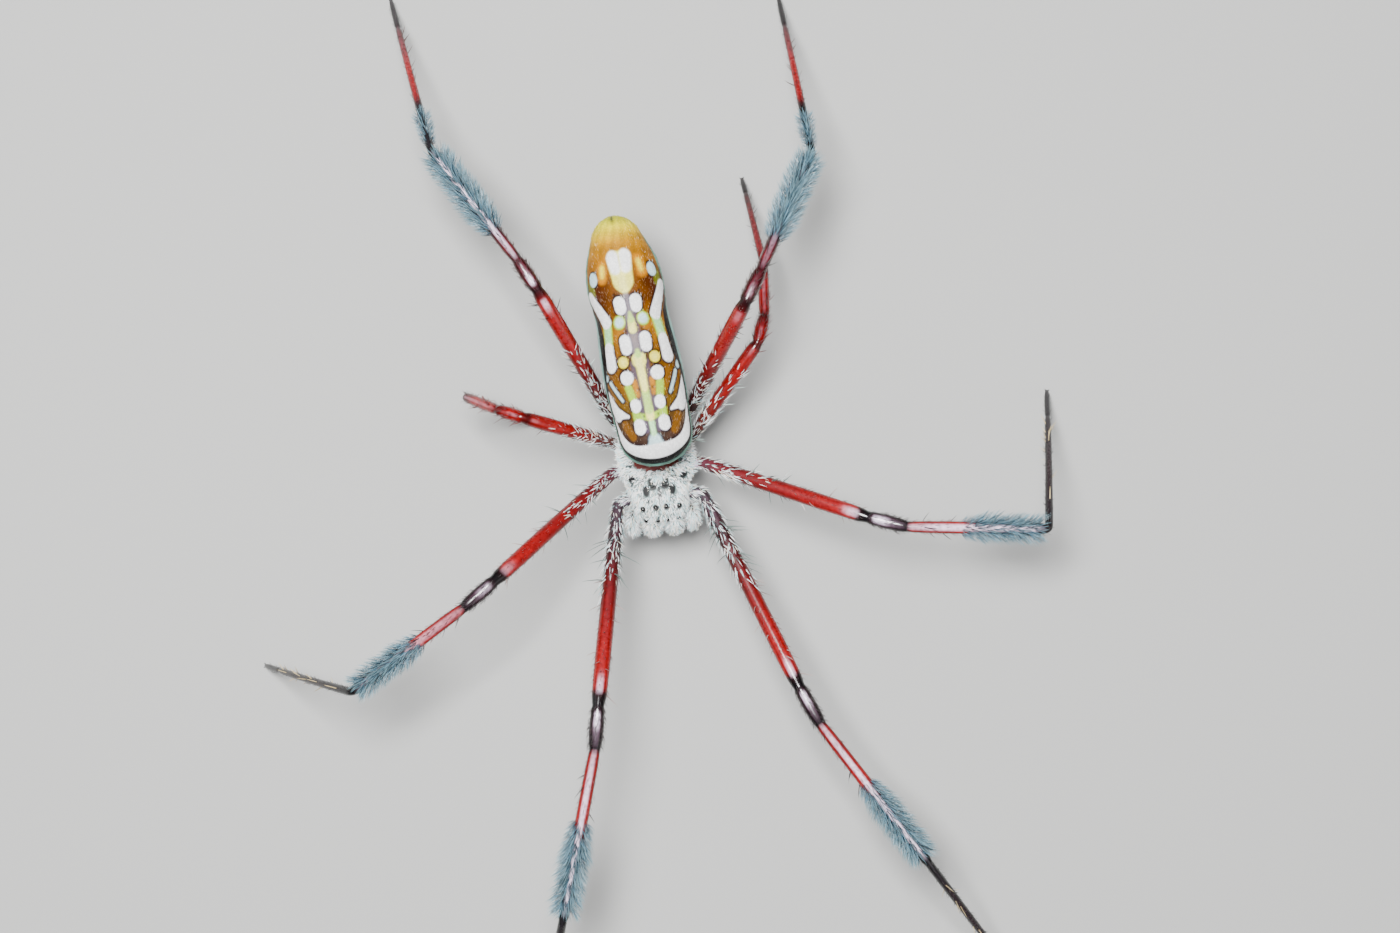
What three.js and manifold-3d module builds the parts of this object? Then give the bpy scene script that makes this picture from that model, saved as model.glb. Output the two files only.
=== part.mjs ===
// A golden silk orb weaver as a still, life-size model that stands on its eight feet.
// Millimetres, +Z up. The head points to -Y, the spider's own left is +X, the floor is z = 0.
import * as THREE from "three";
import { mergeVertices } from "three/addons/utils/BufferGeometryUtils.js";
import Module from "manifold-3d";

const wasm = await Module();
wasm.setup();

const gap = 0.3; // between neighbouring nodes
const roomMargin = 1.3; // a coarse copy of a body is swollen this much more, for its flat faces

// Head and thorax. A station is [y, half width, height over the rim].
const carapace = {
  front: -4.0,
  rear: 5.3,
  rim: 8.9,
  under: 0.35,
  roundFront: 1.3,
  roundRear: 1.5,
  boxiness: 2.3,
  stations: [
    [-4.0, 2.35, 1.55],
    [-2.7, 2.5, 2.05],
    [-1.2, 2.6, 2.3],
    [0.4, 3.2, 1.7],
    [2.1, 3.45, 1.1],
    [3.8, 3.1, 0.7],
    [5.3, 2.1, 0.4],
  ],
};
const sternum = {
  front: -1.9,
  rear: 5.0,
  middle: 7.9,
  depth: 1.3,
  roundFront: 1.2,
  roundRear: 2.0,
  boxiness: 2.6,
  stations: [
    [-1.9, 1.6, 1.0],
    [0.6, 1.85, 1.0],
    [3.0, 1.5, 1.0],
    [5.0, 0.9, 1.0],
  ],
};
const horns = { x: 0.53, y: -0.5, radius: 0.26, height: 0.75, sunk: 0.3 };
const eyes = {
  radius: 0.25,
  clearance: 0.2,
  pairs: {
    front_median: [0.42, -3.6],
    front_lateral: [1.46, -3.52],
    rear_median: [0.47, -2.42],
    rear_lateral: [1.66, -2.45],
  },
};

// Abdomen, along its own axis from the front end. A station is [s, half width, half height, middle z].
const abdomen = {
  frontEnd: [0.52, 1.2],
  yaw: 4.9,
  length: 22.45,
  roundFront: 2.7,
  roundRear: 1.6,
  boxiness: 2.12,
  stations: [
    [0, 3.4, 2.9, 13.6],
    [3, 3.38, 3.3, 13.1],
    [6, 3.55, 3.6, 12.75],
    [8.5, 3.65, 3.7, 12.6],
    [11, 3.54, 3.7, 12.6],
    [13.7, 3.3, 3.5, 12.6],
    [16.3, 3.5, 3.35, 12.6],
    [18.4, 3.2, 3.05, 12.65],
    [20.4, 2.4, 2.5, 12.75],
    [22.45, 1.75, 1.9, 12.8],
  ],
};
// A tube is [place across, place along, reach].
const spinnerets = {
  at: 17.3,
  mound: [1.15, 1.2, 0.86],
  radii: [[0, 0.42], [0.9, 0.3]],
  tubes: [[0.52, -0.5, 1.5], [-0.52, -0.5, 1.5], [0.52, 0.6, 1.2], [-0.52, 0.6, 1.2]],
  lean: 0.35,
};

// Legs. Lengths and radii run outwards; a profile row is [part of the length, radius].
const legSizes = {
  1: { hip: [3.8, -1.7], root: [0.6, -0.9], lengths: [19.6, 3.7, 15.5, 21.6], girth: 1.0 },
  2: { hip: [3.9, 1.15], root: [0.6, 0.6], lengths: [16.5, 3.5, 12.5, 18.4], girth: 0.97 },
  3: { hip: [3.6, 3.7], root: [0.6, 1.9], lengths: [10.2, 2.6, 5.6, 11.1], girth: 0.88 },
  4: { hip: [3.1, 5.4], root: [0.4, 3.7], lengths: [16.0, 3.1, 13.0, 20.8], girth: 0.96 },
};
const hipHeight = 8.4;
const rootHeight = 7.6;
const profiles = {
  coxa: [[0, 0.7], [0.55, 0.72], [0.78, 0.66], [0.84, 0.6], [0.9, 0.68], [1, 0.64]],
  femur: [[0, 0.6], [0.12, 0.68], [0.45, 0.76], [0.75, 0.8], [0.92, 0.74], [1, 0.68]],
  patella: [[0, 0.64], [0.35, 0.72], [0.75, 0.7], [1, 0.6]],
  tibia: [[0, 0.56], [0.1, 0.62], [0.5, 0.64], [0.85, 0.6], [1, 0.5]],
  metatarsus: [[0, 0.42], [0.06, 0.44], [0.4, 0.38], [0.78, 0.33], [0.84, 0.31], [0.88, 0.33], [1, 0.3]],
};
const facets = { coxa: 8, femur: 8, patella: 8, tibia: 8, metatarsus: 6 };
// Each segment's [azimuth, elevation] in degrees; the last one slopes down to the floor by itself.
const stances = {
  leg1_left: { femur: [-70, 15.4], patella: [-67, 6], tibia: [-58.7, -1], metatarsus: -60 },
  leg1_right: { femur: [-101.6, 26.6], patella: [-100.8, 2.4], tibia: [-107.3, -7], metatarsus: -108 },
  leg2_left: { femur: [-24.8, 19.9], patella: [-20.3, 8], tibia: [-7.5, -3.7], metatarsus: 78 },
  leg2_right: { femur: [-143.6, 33.2], patella: [-145.4, 4.3], tibia: [-149.7, -8.5], metatarsus: 165 },
  leg3_left: { femur: [48.3, 14.4], patella: [69.6, -14.8], tibia: [84.4, -28.5], metatarsus: 96 },
  leg3_right: { femur: [157.5, 38], patella: [156.7, -20], tibia: [152, -54], metatarsus: -28 },
  leg4_left: { femur: [55.1, 47], patella: [57.9, -7.3], tibia: [60.3, -27], metatarsus: 93 },
  leg4_right: { femur: [113.6, 33.5], patella: [116.9, -1.2], tibia: [121.6, -15], metatarsus: 101 },
};
const footRise = 0.14; // height of the foot's middle over its flat
const bow = { metatarsus: 0.9, femur: 0.35 };

// Leg brushes, by leg and segment: rows of locks over a stretch, given as parts of the segment's length.
const brushes = {
  1: { tibia: { from: 0.42, to: 0.86, rows: 5, around: 5, radius: 0.92 } },
  2: { tibia: { from: 0.44, to: 0.85, rows: 4, around: 5, radius: 0.9 } },
  4: {
    tibia: { from: 0.28, to: 0.87, rows: 5, around: 5, radius: 0.92 },
    metatarsus: { from: 0.05, to: 0.17, rows: 2, around: 4, radius: 0.66 },
  },
};
const lock = {
  length: 2.6,
  width: 1.35,
  rootWidth: 0.12,
  thickness: 0.42,
  rootThickness: 1.1,
  sunk: 0.2,
  lift: 35,
  bend: 0.1,
  uneven: 0.16,
  turn: 0.1,
  endRows: 0.8,
};
const core = { lead: 0.03, rise: 0.04, fall: 0.08, taper: 0.95 };
// Spines, by segment: how many, over which stretch, how long and how far they lean from the leg.
const spines = {
  femur: { count: 5, from: 0.1, to: 0.88, length: 1.7, lean: 52 },
  patella: { count: 1, from: 0.4, to: 0.8, length: 1.4, lean: 55 },
  tibia: { count: 2, from: 0.12, to: 0.3, length: 1.4, lean: 50 },
  metatarsus: { count: 3, from: 0.3, to: 0.72, length: 1.1, lean: 45 },
};
const spine = { radius: 0.26, sunk: 0.3, turn: 137.5, sway: 60, uneven: 0.2 };
const randomSeed = 41;

// Jaws and feelers, for the spider's left; the other side is mirrored.
const jaw = {
  path: [[0.95, -3.3, 9.3], [0.96, -4.05, 8.2], [0.9, -4.0, 6.0]],
  radii: [[0, 0.7], [0.4, 0.8], [0.8, 0.72], [1, 0.5]],
  end: 6.1,
};
const fang = {
  path: [[0.82, -3.95, 6.0], [0.66, -4.0, 5.3], [0.3, -3.75, 4.7]],
  radii: [[0, 0.32], [0.6, 0.24], [1, 0.1]],
};
const palp = {
  path: [[2.1, -2.5, 7.5], [2.62, -3.0, 8.6], [2.7, -3.7, 8.5], [2.62, -4.25, 7.2], [2.25, -4.42, 5.5]],
  radii: [[0, 0.42], [0.3, 0.52], [0.45, 0.56], [0.7, 0.46], [0.85, 0.48], [1, 0.28]],
};
const pedicel = {
  path: [[0, 4.6, 8.1], [0.03, 5.9, 8.3], [0.1, 6.9, 9.6]],
  radii: [[0, 0.5], [0.5, 0.46], [1, 0.5]],
};
const mouth = {
  lobe: [0.58, 0.6, 0.85],
  places: [[0.68, -2.5, 7.5], [-0.68, -2.5, 7.5], [0, -2.4, 7.2]],
};

const colours = {
  silver: 0xb9c4c2,
  abdomen: 0xb5862c,
  femur: 0x9c1420,
  patella: 0x2a0a10,
  tibia: 0x8a1822,
  metatarsus: 0x34141a,
  dark: 0x181214,
};

const up = new THREE.Vector3(0, 0, 1);
const sideways = new THREE.Vector3(1, 0, 0);
const radians = THREE.MathUtils.degToRad;

// A closed geometry as a solid, and back.
function solidOf(geometry) {
  geometry.deleteAttribute("normal");
  geometry.deleteAttribute("uv");
  const merged = mergeVertices(geometry, 1e-4);
  return new wasm.Manifold(
    new wasm.Mesh({
      numProp: 3,
      vertProperties: merged.attributes.position.array,
      triVerts: new Uint32Array(merged.index.array),
    }),
  );
}
function geometryOf(solid) {
  const mesh = solid.getMesh();
  const geometry = new THREE.BufferGeometry();
  geometry.setAttribute("position", new THREE.BufferAttribute(mesh.vertProperties, 3));
  geometry.setIndex(new THREE.BufferAttribute(mesh.triVerts, 1));
  geometry.computeVertexNormals();
  return geometry;
}
// The largest closed surface of a solid.
function largest(solid) {
  return solid.decompose().sort((a, b) => b.volume() - a.volume())[0];
}

// Sizes between stations, read at any place along them.
function sizesAlong(stations) {
  const places = stations.map((row) => row[0]);
  const values = stations.flatMap((row) => row.slice(1));
  const curve = new THREE.CubicInterpolant(places, values, stations[0].length - 1);
  return (place) => [...curve.evaluate(THREE.MathUtils.clamp(place, places[0], places.at(-1)))];
}
// How full a body is near its rounded ends: 0 at the very end, 1 past the rounding.
function fullness(place, start, end, roundStart, roundEnd) {
  const near = Math.max((start + roundStart - place) / roundStart, (place - end + roundEnd) / roundEnd, 0);
  return Math.sqrt(Math.max(1 - near * near, 0));
}
function rounded(value, boxiness) {
  return Math.sign(value) * Math.abs(value) ** (2 / boxiness);
}
// A closed body of cross-sections along a line: section(place, across, upward) gives each point,
// with place from 0 to 1 and a direction around the section.
function formed(around, along, section) {
  const geometry = new THREE.SphereGeometry(1, around, along);
  const points = geometry.attributes.position;
  for (let i = 0; i < points.count; i++) {
    const turn = Math.atan2(-points.getZ(i), points.getX(i));
    const place = (1 - points.getY(i)) / 2;
    points.setXYZ(i, ...section(place, Math.cos(turn), Math.sin(turn)));
  }
  return solidOf(geometry);
}

// A round limb along a curve, with a dome at each end. A profile row is [part of the length, radius].
function limb(curve, profile, side, sides, girth = 1) {
  const length = curve.getLength();
  const rows = profile.map(([part, radius]) => new THREE.Vector2(radius * girth, part * length));
  const dome = [0, 45].map(radians);
  const [first, last] = [rows[0], rows.at(-1)];
  const lower = dome.map((a) => new THREE.Vector2(first.x * Math.sin(a), first.y - first.x * Math.cos(a)));
  const upper = dome.map((a) => new THREE.Vector2(last.x * Math.sin(a), last.y + last.x * Math.cos(a)));
  const geometry = new THREE.LatheGeometry([...lower, ...rows, ...upper.reverse()], sides);
  const points = geometry.attributes.position;
  for (let i = 0; i < points.count; i++) {
    const part = THREE.MathUtils.clamp(points.getY(i) / length, 0, 1);
    const tangent = curve.getTangentAt(part);
    const across = side.clone().projectOnPlane(tangent).normalize();
    const outward = new THREE.Vector3().crossVectors(across, tangent);
    const centre = curve.getPointAt(part).addScaledVector(tangent, points.getY(i) - part * length);
    centre.addScaledVector(across, points.getX(i)).addScaledVector(outward, points.getZ(i));
    points.setXYZ(i, ...centre);
  }
  return solidOf(geometry);
}
function smoothPath(points) {
  return new THREE.CatmullRomCurve3(points.map((p) => new THREE.Vector3(...p)));
}

// Head and thorax in one: the carapace over the sternum. Grown is how far it is swollen.
const carapaceSizes = sizesAlong(carapace.stations);
const sternumSizes = sizesAlong(sternum.stations);
function shell(form, sizes, middle, depth, grown, around, along) {
  const start = form.front - grown;
  const end = form.rear + grown;
  return formed(around, along, (place, across, upward) => {
    const y = THREE.MathUtils.lerp(start, end, place);
    const [width, height] = sizes(y);
    const full = fullness(y, start, end, form.roundFront, form.roundRear);
    const x = (width + grown) * full * rounded(across, form.boxiness);
    const rise = (upward > 0 ? height : depth) + grown;
    return [x, y, middle + rise * full * rounded(upward, form.boxiness)];
  });
}
function headTop(x, y) {
  const [width, height] = carapaceSizes(y);
  const full = fullness(y, carapace.front, carapace.rear, carapace.roundFront, carapace.roundRear);
  const inside = Math.max(1 - Math.abs(x / (width * full)) ** carapace.boxiness, 0);
  return carapace.rim + height * full * inside ** (1 / carapace.boxiness);
}
function trunk(grown, around, along) {
  const back = shell(carapace, carapaceSizes, carapace.rim, carapace.under, grown, around, along);
  const plate = shell(sternum, sternumSizes, sternum.middle, sternum.depth, grown, 14, 10);
  return back.add(plate);
}
function horn(sign) {
  const cone = new THREE.ConeGeometry(horns.radius, horns.height, 6).rotateX(Math.PI / 2);
  cone.translate(sign * horns.x, horns.y, headTop(horns.x, horns.y) + horns.height / 2 - horns.sunk);
  return solidOf(cone);
}
function ball(radius, centre, sides) {
  return solidOf(new THREE.SphereGeometry(radius, sides, Math.round(sides * 0.7)).translate(...centre));
}
const eyePlaces = Object.entries(eyes.pairs).flatMap(([name, [x, y]]) =>
  [["left", 1], ["right", -1]].map(([side, sign]) => [`eye_${name}_${side}`, [sign * x, y, headTop(x, y)]]),
);
function cephalothorax() {
  let body = trunk(0, 24, 15).add(horn(1)).add(horn(-1));
  for (const [, place] of eyePlaces) body = body.subtract(ball(eyes.radius + eyes.clearance, place, 7));
  return largest(body);
}

// The abdomen, along its own axis and turned a little to the spider's right.
const abdomenSizes = sizesAlong(abdomen.stations);
const abdomenTurn = radians(abdomen.yaw);
function abdomenPoint(s, x, z) {
  const [startX, startY] = abdomen.frontEnd;
  return [
    startX - s * Math.sin(abdomenTurn) + x * Math.cos(abdomenTurn),
    startY + s * Math.cos(abdomenTurn) + x * Math.sin(abdomenTurn),
    z,
  ];
}
function abdomenBody(grown, around, along) {
  return formed(around, along, (place, across, upward) => {
    const s = THREE.MathUtils.lerp(-grown, abdomen.length + grown, place);
    const [width, height, middle] = abdomenSizes(s);
    const full = fullness(s, -grown, abdomen.length + grown, abdomen.roundFront, abdomen.roundRear);
    const x = (width + grown) * full * rounded(across, abdomen.boxiness);
    const z = middle + (height + grown) * full * rounded(upward, abdomen.boxiness);
    return abdomenPoint(s, x, z);
  });
}
function spinneretCluster(around) {
  const [, height, middle] = abdomenSizes(spinnerets.at);
  const top = middle - height;
  const mound = new THREE.SphereGeometry(1, 10, 6).scale(...spinnerets.mound);
  let cluster = solidOf(mound.translate(...abdomenPoint(spinnerets.at, 0, top)));
  for (const [x, s, reach] of spinnerets.tubes) {
    const start = new THREE.Vector3(...abdomenPoint(spinnerets.at + s, x, top));
    const end = new THREE.Vector3(...abdomenPoint(spinnerets.at + s + spinnerets.lean, x, top - reach));
    cluster = cluster.add(limb(new THREE.LineCurve3(start, end), spinnerets.radii, sideways, 6));
  }
  return largest(cluster.subtract(around));
}

// One leg: its joints in space, then each segment cut to its joints' half-way planes.
function direction([azimuth, elevation]) {
  const [a, e] = [radians(azimuth), radians(elevation)];
  return new THREE.Vector3(Math.cos(e) * Math.cos(a), Math.cos(e) * Math.sin(a), Math.sin(e));
}
function legJoints(size, stance, sign) {
  const root = new THREE.Vector3(sign * size.root[0], size.root[1], rootHeight);
  const hip = new THREE.Vector3(sign * size.hip[0], size.hip[1], hipHeight);
  const joints = [root, hip];
  ["femur", "patella", "tibia"].forEach((name, i) => {
    joints.push(joints.at(-1).clone().addScaledVector(direction(stance[name]), size.lengths[i]));
  });
  const drop = THREE.MathUtils.radToDeg(Math.asin((joints[4].z - footRise) / size.lengths[3]));
  joints.push(joints[4].clone().addScaledVector(direction([stance.metatarsus, -drop]), size.lengths[3]));
  return joints;
}
function bowed(from, to, rise) {
  const middle = from.clone().lerp(to, 0.5);
  const along = to.clone().sub(from).normalize();
  const lift = up.clone().addScaledVector(along, -along.z).normalize();
  return new THREE.QuadraticBezierCurve3(from, middle.addScaledVector(lift, rise), to);
}
function keepBeyond(solid, joint, normal) {
  return solid.trimByPlane([...normal], normal.dot(joint) + gap / 2);
}
function frameAt(curve, part) {
  const lie = curve.getTangentAt(part);
  const level = new THREE.Vector3().crossVectors(lie, up).normalize();
  return { centre: curve.getPointAt(part), lie, level, lift: new THREE.Vector3().crossVectors(level, lie) };
}
function outwardAt({ level, lift }, angle) {
  return level.clone().multiplyScalar(Math.cos(angle)).addScaledVector(lift, Math.sin(angle));
}
function varied(size, by) {
  return size * (1 + by * (2 * THREE.MathUtils.seededRandom() - 1));
}
// Turns a cone's straight taper into a leaf's, full width half way along and a share of it at the root.
function leaf(rootShare, part) {
  return rootShare + (4 - 2 * rootShare) * part;
}
// One lock: a flat, tapered tuft that leaves the leg at a slant and bends back along its lie.
function lockSolid(root, lie, outward, size) {
  const length = varied(lock.length, lock.uneven) * size;
  const angle = radians(varied(lock.lift, lock.uneven));
  const breadth = new THREE.Vector3().crossVectors(lie, outward);
  const geometry = new THREE.ConeGeometry(lock.width / 2, length, 4, 2).translate(0, length / 2, 0);
  const points = geometry.attributes.position;
  for (let i = 0; i < points.count; i++) {
    const part = points.getY(i) / length;
    const along = length * part * Math.cos(angle);
    const out = length * (part * Math.sin(angle) - lock.bend * part * part);
    const thickness = (points.getZ(i) * lock.thickness * leaf(lock.rootThickness, part)) / lock.width;
    const width = points.getX(i) * leaf(lock.rootWidth, part);
    const point = root.clone().addScaledVector(lie, along - thickness * Math.sin(angle));
    point.addScaledVector(outward, out + thickness * Math.cos(angle));
    points.setXYZ(i, ...point.addScaledVector(breadth, width));
  }
  return solidOf(geometry);
}
// The leg is thicker under its brush, less than half way out to the locks' tips.
function coredProfile(profile, { from, to, radius }) {
  const start = from - core.lead;
  const [[thin], [end]] = [start, 1].map(sizesAlong(profile));
  const top = [[from + core.rise, radius], [to, radius * core.taper]];
  const slopes = [[start, thin], ...top, [to + core.fall, end]];
  return [...profile.filter(([part]) => part < start), ...slopes, profile.at(-1)];
}
function brushLocks(curve, radiusAt, { from, to, rows, around }) {
  const locks = [];
  for (let row = 0; row < rows; row++) {
    const part = THREE.MathUtils.lerp(from, to, row / (rows - 1));
    const frame = frameAt(curve, part);
    const size = row === 0 || row === rows - 1 ? lock.endRows : 1;
    for (let i = 0; i < around; i++) {
      const angle = ((i + 0.5 * (row % 2) + varied(lock.turn, 1)) * 2 * Math.PI) / around;
      const outward = outwardAt(frame, angle);
      const root = frame.centre.clone().addScaledVector(outward, radiusAt(part)[0] - lock.sunk);
      locks.push(lockSolid(root, frame.lie, outward, size));
    }
  }
  return locks;
}
function spineSolid(root, heading, length) {
  const cone = new THREE.ConeGeometry(spine.radius, length, 5).translate(0, length / 2, 0);
  cone.applyQuaternion(new THREE.Quaternion().setFromUnitVectors(new THREE.Vector3(0, 1, 0), heading));
  return solidOf(cone.translate(...root));
}
function spineSolids(curve, radiusAt, { count, from, to, length, lean }) {
  return Array.from({ length: count }, (_, i) => {
    const part = THREE.MathUtils.lerp(from, to, (i + 0.5) / count);
    const frame = frameAt(curve, part);
    const outward = outwardAt(frame, radians(spine.turn * i + varied(spine.sway, 1)));
    const heading = frame.lie.clone().multiplyScalar(Math.cos(radians(lean)));
    heading.addScaledVector(outward, Math.sin(radians(lean))).normalize();
    const root = frame.centre.clone().addScaledVector(outward, radiusAt(part)[0] - spine.sunk);
    return spineSolid(root, heading, varied(length, spine.uneven) + spine.sunk);
  });
}
function legSegments(name, trunkRoom, abdomenRoom) {
  const number = Number(name[3]);
  const size = legSizes[number];
  const joints = legJoints(size, stances[name], name.endsWith("left") ? 1 : -1);
  THREE.MathUtils.seededRandom(randomSeed + Object.keys(stances).indexOf(name));
  return Object.keys(profiles).map((part, i) => {
    const [from, to] = [joints[i], joints[i + 1]];
    const curve = bow[part] ? bowed(from, to, bow[part]) : new THREE.LineCurve3(from, to);
    const side = new THREE.Vector3().subVectors(to, from).cross(up).normalize();
    const brush = brushes[number]?.[part];
    const profile = brush ? coredProfile(profiles[part], brush) : profiles[part];
    let solid = limb(curve, profile, side, facets[part], size.girth);
    const girthAt = sizesAlong(profile.map(([place, radius]) => [place, radius * size.girth]));
    if (brush) solid = wasm.Manifold.union([solid, ...brushLocks(curve, girthAt, brush)]);
    if (spines[part]) {
      const clear = (grown) => grown.intersect(abdomenRoom).isEmpty() && grown.intersect(trunkRoom).isEmpty();
      solid = wasm.Manifold.union([solid, ...spineSolids(curve, girthAt, spines[part]).filter(clear)]);
    }
    const heading = to.clone().sub(from).normalize();
    if (i === 0) {
      solid = solid.subtract(trunkRoom);
    } else {
      const before = from.clone().sub(joints[i - 1]).normalize();
      solid = keepBeyond(solid, from, before.add(heading).normalize());
    }
    if (i === 4) {
      solid = solid.trimByPlane([0, 0, 1], 0);
    } else {
      const after = joints[i + 2].clone().sub(to).normalize();
      solid = keepBeyond(solid, to, after.add(heading).normalize().negate());
    }
    return [`${name}_${part}`, largest(solid), part];
  });
}

// Jaws, fangs, feelers and mouthparts.
function jawSolid(trunkRoom) {
  const body = limb(smoothPath(jaw.path), jaw.radii, sideways, 10).trimByPlane([0, 0, 1], jaw.end);
  return largest(body.subtract(trunkRoom));
}
function fangSolid() {
  return limb(smoothPath(fang.path), fang.radii, sideways, 7).trimByPlane([0, 0, -1], gap - jaw.end);
}
function palpSolid(trunkRoom) {
  return largest(limb(smoothPath(palp.path), palp.radii, sideways, 8).subtract(trunkRoom));
}
function mouthparts(trunkRoom) {
  const lobe = (place) => solidOf(new THREE.SphereGeometry(1, 8, 5).scale(...mouth.lobe).translate(...place));
  return largest(wasm.Manifold.union(mouth.places.map(lobe)).subtract(trunkRoom));
}

function mesh(name, solid, colour, roughness, metalness = 0) {
  const material = new THREE.MeshStandardMaterial({ color: colour, roughness, metalness });
  const piece = new THREE.Mesh(geometryOf(solid), material);
  piece.name = name;
  return piece;
}
function spider() {
  const group = new THREE.Group();
  const trunkRoom = trunk(gap * roomMargin, 14, 12);
  const abdomenRoom = abdomenBody(gap * roomMargin, 16, 14);
  group.add(mesh("cephalothorax", cephalothorax(), colours.silver, 0.7));
  group.add(mesh("abdomen", abdomenBody(0, 24, 19), colours.abdomen, 0.45));
  const stalk = limb(smoothPath(pedicel.path), pedicel.radii, sideways, 8);
  group.add(mesh("pedicel", largest(stalk.subtract(trunkRoom).subtract(abdomenRoom)), colours.dark, 0.5));
  group.add(mesh("spinnerets", spinneretCluster(abdomenRoom), colours.dark, 0.55));
  group.add(mesh("maxillae", mouthparts(trunkRoom), colours.dark, 0.5));
  for (const [name, place] of eyePlaces) {
    group.add(mesh(name, ball(eyes.radius, place, 8), colours.dark, 0.1));
  }
  const paired = {
    chelicera: [jawSolid(trunkRoom), colours.silver, 0.6],
    fang: [fangSolid(), colours.dark, 0.2],
    palp: [palpSolid(trunkRoom), colours.silver, 0.6],
  };
  for (const [name, [solid, colour, roughness]] of Object.entries(paired)) {
    const right = mesh(`${name}_right`, solid, colour, roughness);
    right.scale.x = -1;
    group.add(mesh(`${name}_left`, solid, colour, roughness), right);
  }
  for (const leg of Object.keys(stances)) {
    for (const [name, solid, part] of legSegments(leg, trunkRoom, abdomenRoom)) {
      group.add(mesh(name, solid, colours[part] ?? colours.femur, 0.35));
    }
  }
  // The origin lies on the floor under the middle of the whole spider's box.
  const box = new THREE.Box3().setFromObject(group);
  const middle = box.getCenter(new THREE.Vector3());
  group.position.set(-middle.x, -middle.y, 0);
  return group;
}

export default spider();
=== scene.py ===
# Golden silk orb weaver, life size, standing on its eight feet: skins, markings, hair, eyes, jaws and claws.
# Places are in millimetres of the body's own frame: head to -Y, the spider's left is +X, floor at z = 0.
import math
import bpy
import numpy as np
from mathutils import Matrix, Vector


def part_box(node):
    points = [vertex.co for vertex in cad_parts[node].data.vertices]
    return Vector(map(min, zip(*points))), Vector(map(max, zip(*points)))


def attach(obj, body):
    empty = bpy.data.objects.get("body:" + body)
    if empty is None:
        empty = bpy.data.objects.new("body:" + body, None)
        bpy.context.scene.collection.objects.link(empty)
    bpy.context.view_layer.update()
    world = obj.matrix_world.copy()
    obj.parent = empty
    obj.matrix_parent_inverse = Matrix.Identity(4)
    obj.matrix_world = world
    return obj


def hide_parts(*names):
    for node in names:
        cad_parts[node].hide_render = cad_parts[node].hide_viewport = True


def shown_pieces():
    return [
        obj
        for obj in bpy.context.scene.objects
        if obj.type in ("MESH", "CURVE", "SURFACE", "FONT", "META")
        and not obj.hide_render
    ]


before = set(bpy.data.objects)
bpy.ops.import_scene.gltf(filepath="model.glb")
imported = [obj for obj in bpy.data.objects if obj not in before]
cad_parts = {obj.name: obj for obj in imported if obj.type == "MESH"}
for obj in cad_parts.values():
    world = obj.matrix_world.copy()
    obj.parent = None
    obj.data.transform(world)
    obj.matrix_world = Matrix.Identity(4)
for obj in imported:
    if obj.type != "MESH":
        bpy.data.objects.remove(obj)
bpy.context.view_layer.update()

mm = 0.001
up = np.array([0.0, 0.0, 1.0])
random = np.random.default_rng(23)

headLow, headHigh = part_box("cephalothorax")
headFront = -4.0 # the solid's front end in the body's own frame
bodyOrigin = np.array([(headLow.x + headHigh.x) / 2 / mm, headLow.y / mm - headFront, 0.0])


# Small tools for meshes.
def deselectAll():
    if bpy.context.mode != "OBJECT":
        bpy.ops.object.mode_set(mode="OBJECT")
    bpy.ops.object.select_all(action="DESELECT")


def chosen(piece):
    deselectAll()
    piece.select_set(True)
    bpy.context.view_layer.objects.active = piece
    return piece


def applied(piece, kind, **settings):
    chosen(piece)
    bpy.ops.object.modifier_add(type=kind)
    modifier = piece.modifiers[-1]
    for key, value in settings.items():
        setattr(modifier, key, value)
    bpy.ops.object.modifier_apply(modifier=modifier.name)
    return piece


def joined(name, pieces):
    chosen(pieces[0])
    for piece in pieces[1:]:
        piece.select_set(True)
    if len(pieces) > 1:
        bpy.ops.object.join()
    pieces[0].name = name
    return pieces[0]


def pointsOf(piece):
    points = np.empty(len(piece.data.vertices) * 3, np.float32)
    piece.data.vertices.foreach_get("co", points)
    return points.reshape(-1, 3).astype(float)


def normalsOf(piece):
    normals = np.empty(len(piece.data.vertices) * 3, np.float32)
    piece.data.vertex_normals.foreach_get("vector", normals)
    return normals.reshape(-1, 3).astype(float)


def movePoints(piece, points):
    piece.data.vertices.foreach_set("co", points.astype(np.float32).ravel())
    piece.data.update()


vividness = 1.85 # deepens every colour under the studio light and leaves white white


# A colour for each point, and how dull it is there: 1 is the finish's own roughness.
def paintPoints(piece, colours, dullness=1.0):
    layer = piece.data.color_attributes.new(name="paint", type="FLOAT_COLOR", domain="POINT")
    deepened = np.clip(colours, 0, 1) ** vividness
    values = np.column_stack([deepened, np.broadcast_to(dullness, len(colours))])
    layer.data.foreach_set("color", values.astype(np.float32).ravel())


# From the body's own millimetres to metres in the frame. Nothing reaches below the floor.
def finished(piece, material, nodes=(), smooth=True):
    points = (pointsOf(piece) + bodyOrigin) * mm
    points[:, 2] = np.maximum(points[:, 2], 0)
    movePoints(piece, points)
    piece.data.materials.clear()
    piece.data.materials.append(material)
    if smooth:
        piece.data.shade_smooth()
    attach(piece, "root")
    if nodes:
        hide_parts(*nodes)
    return piece


def shade(code): # a colour code as linear light
    channels = np.array([int(code[i:i + 2], 16) / 255 for i in (0, 2, 4)])
    return np.where(channels <= 0.04045, channels / 12.92, ((channels + 0.055) / 1.055) ** 2.4)


def eased(low, high, value): # 0 below low, 1 above high, smooth between
    part = np.clip((value - low) / (high - low), 0, 1)
    return part * part * (3 - 2 * part)


def unit(vectors):
    return vectors / np.maximum(np.linalg.norm(vectors, axis=-1, keepdims=True), 1e-9)


def blended(colours, other, mask):
    return colours + (other - colours) * mask[:, None]


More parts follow.
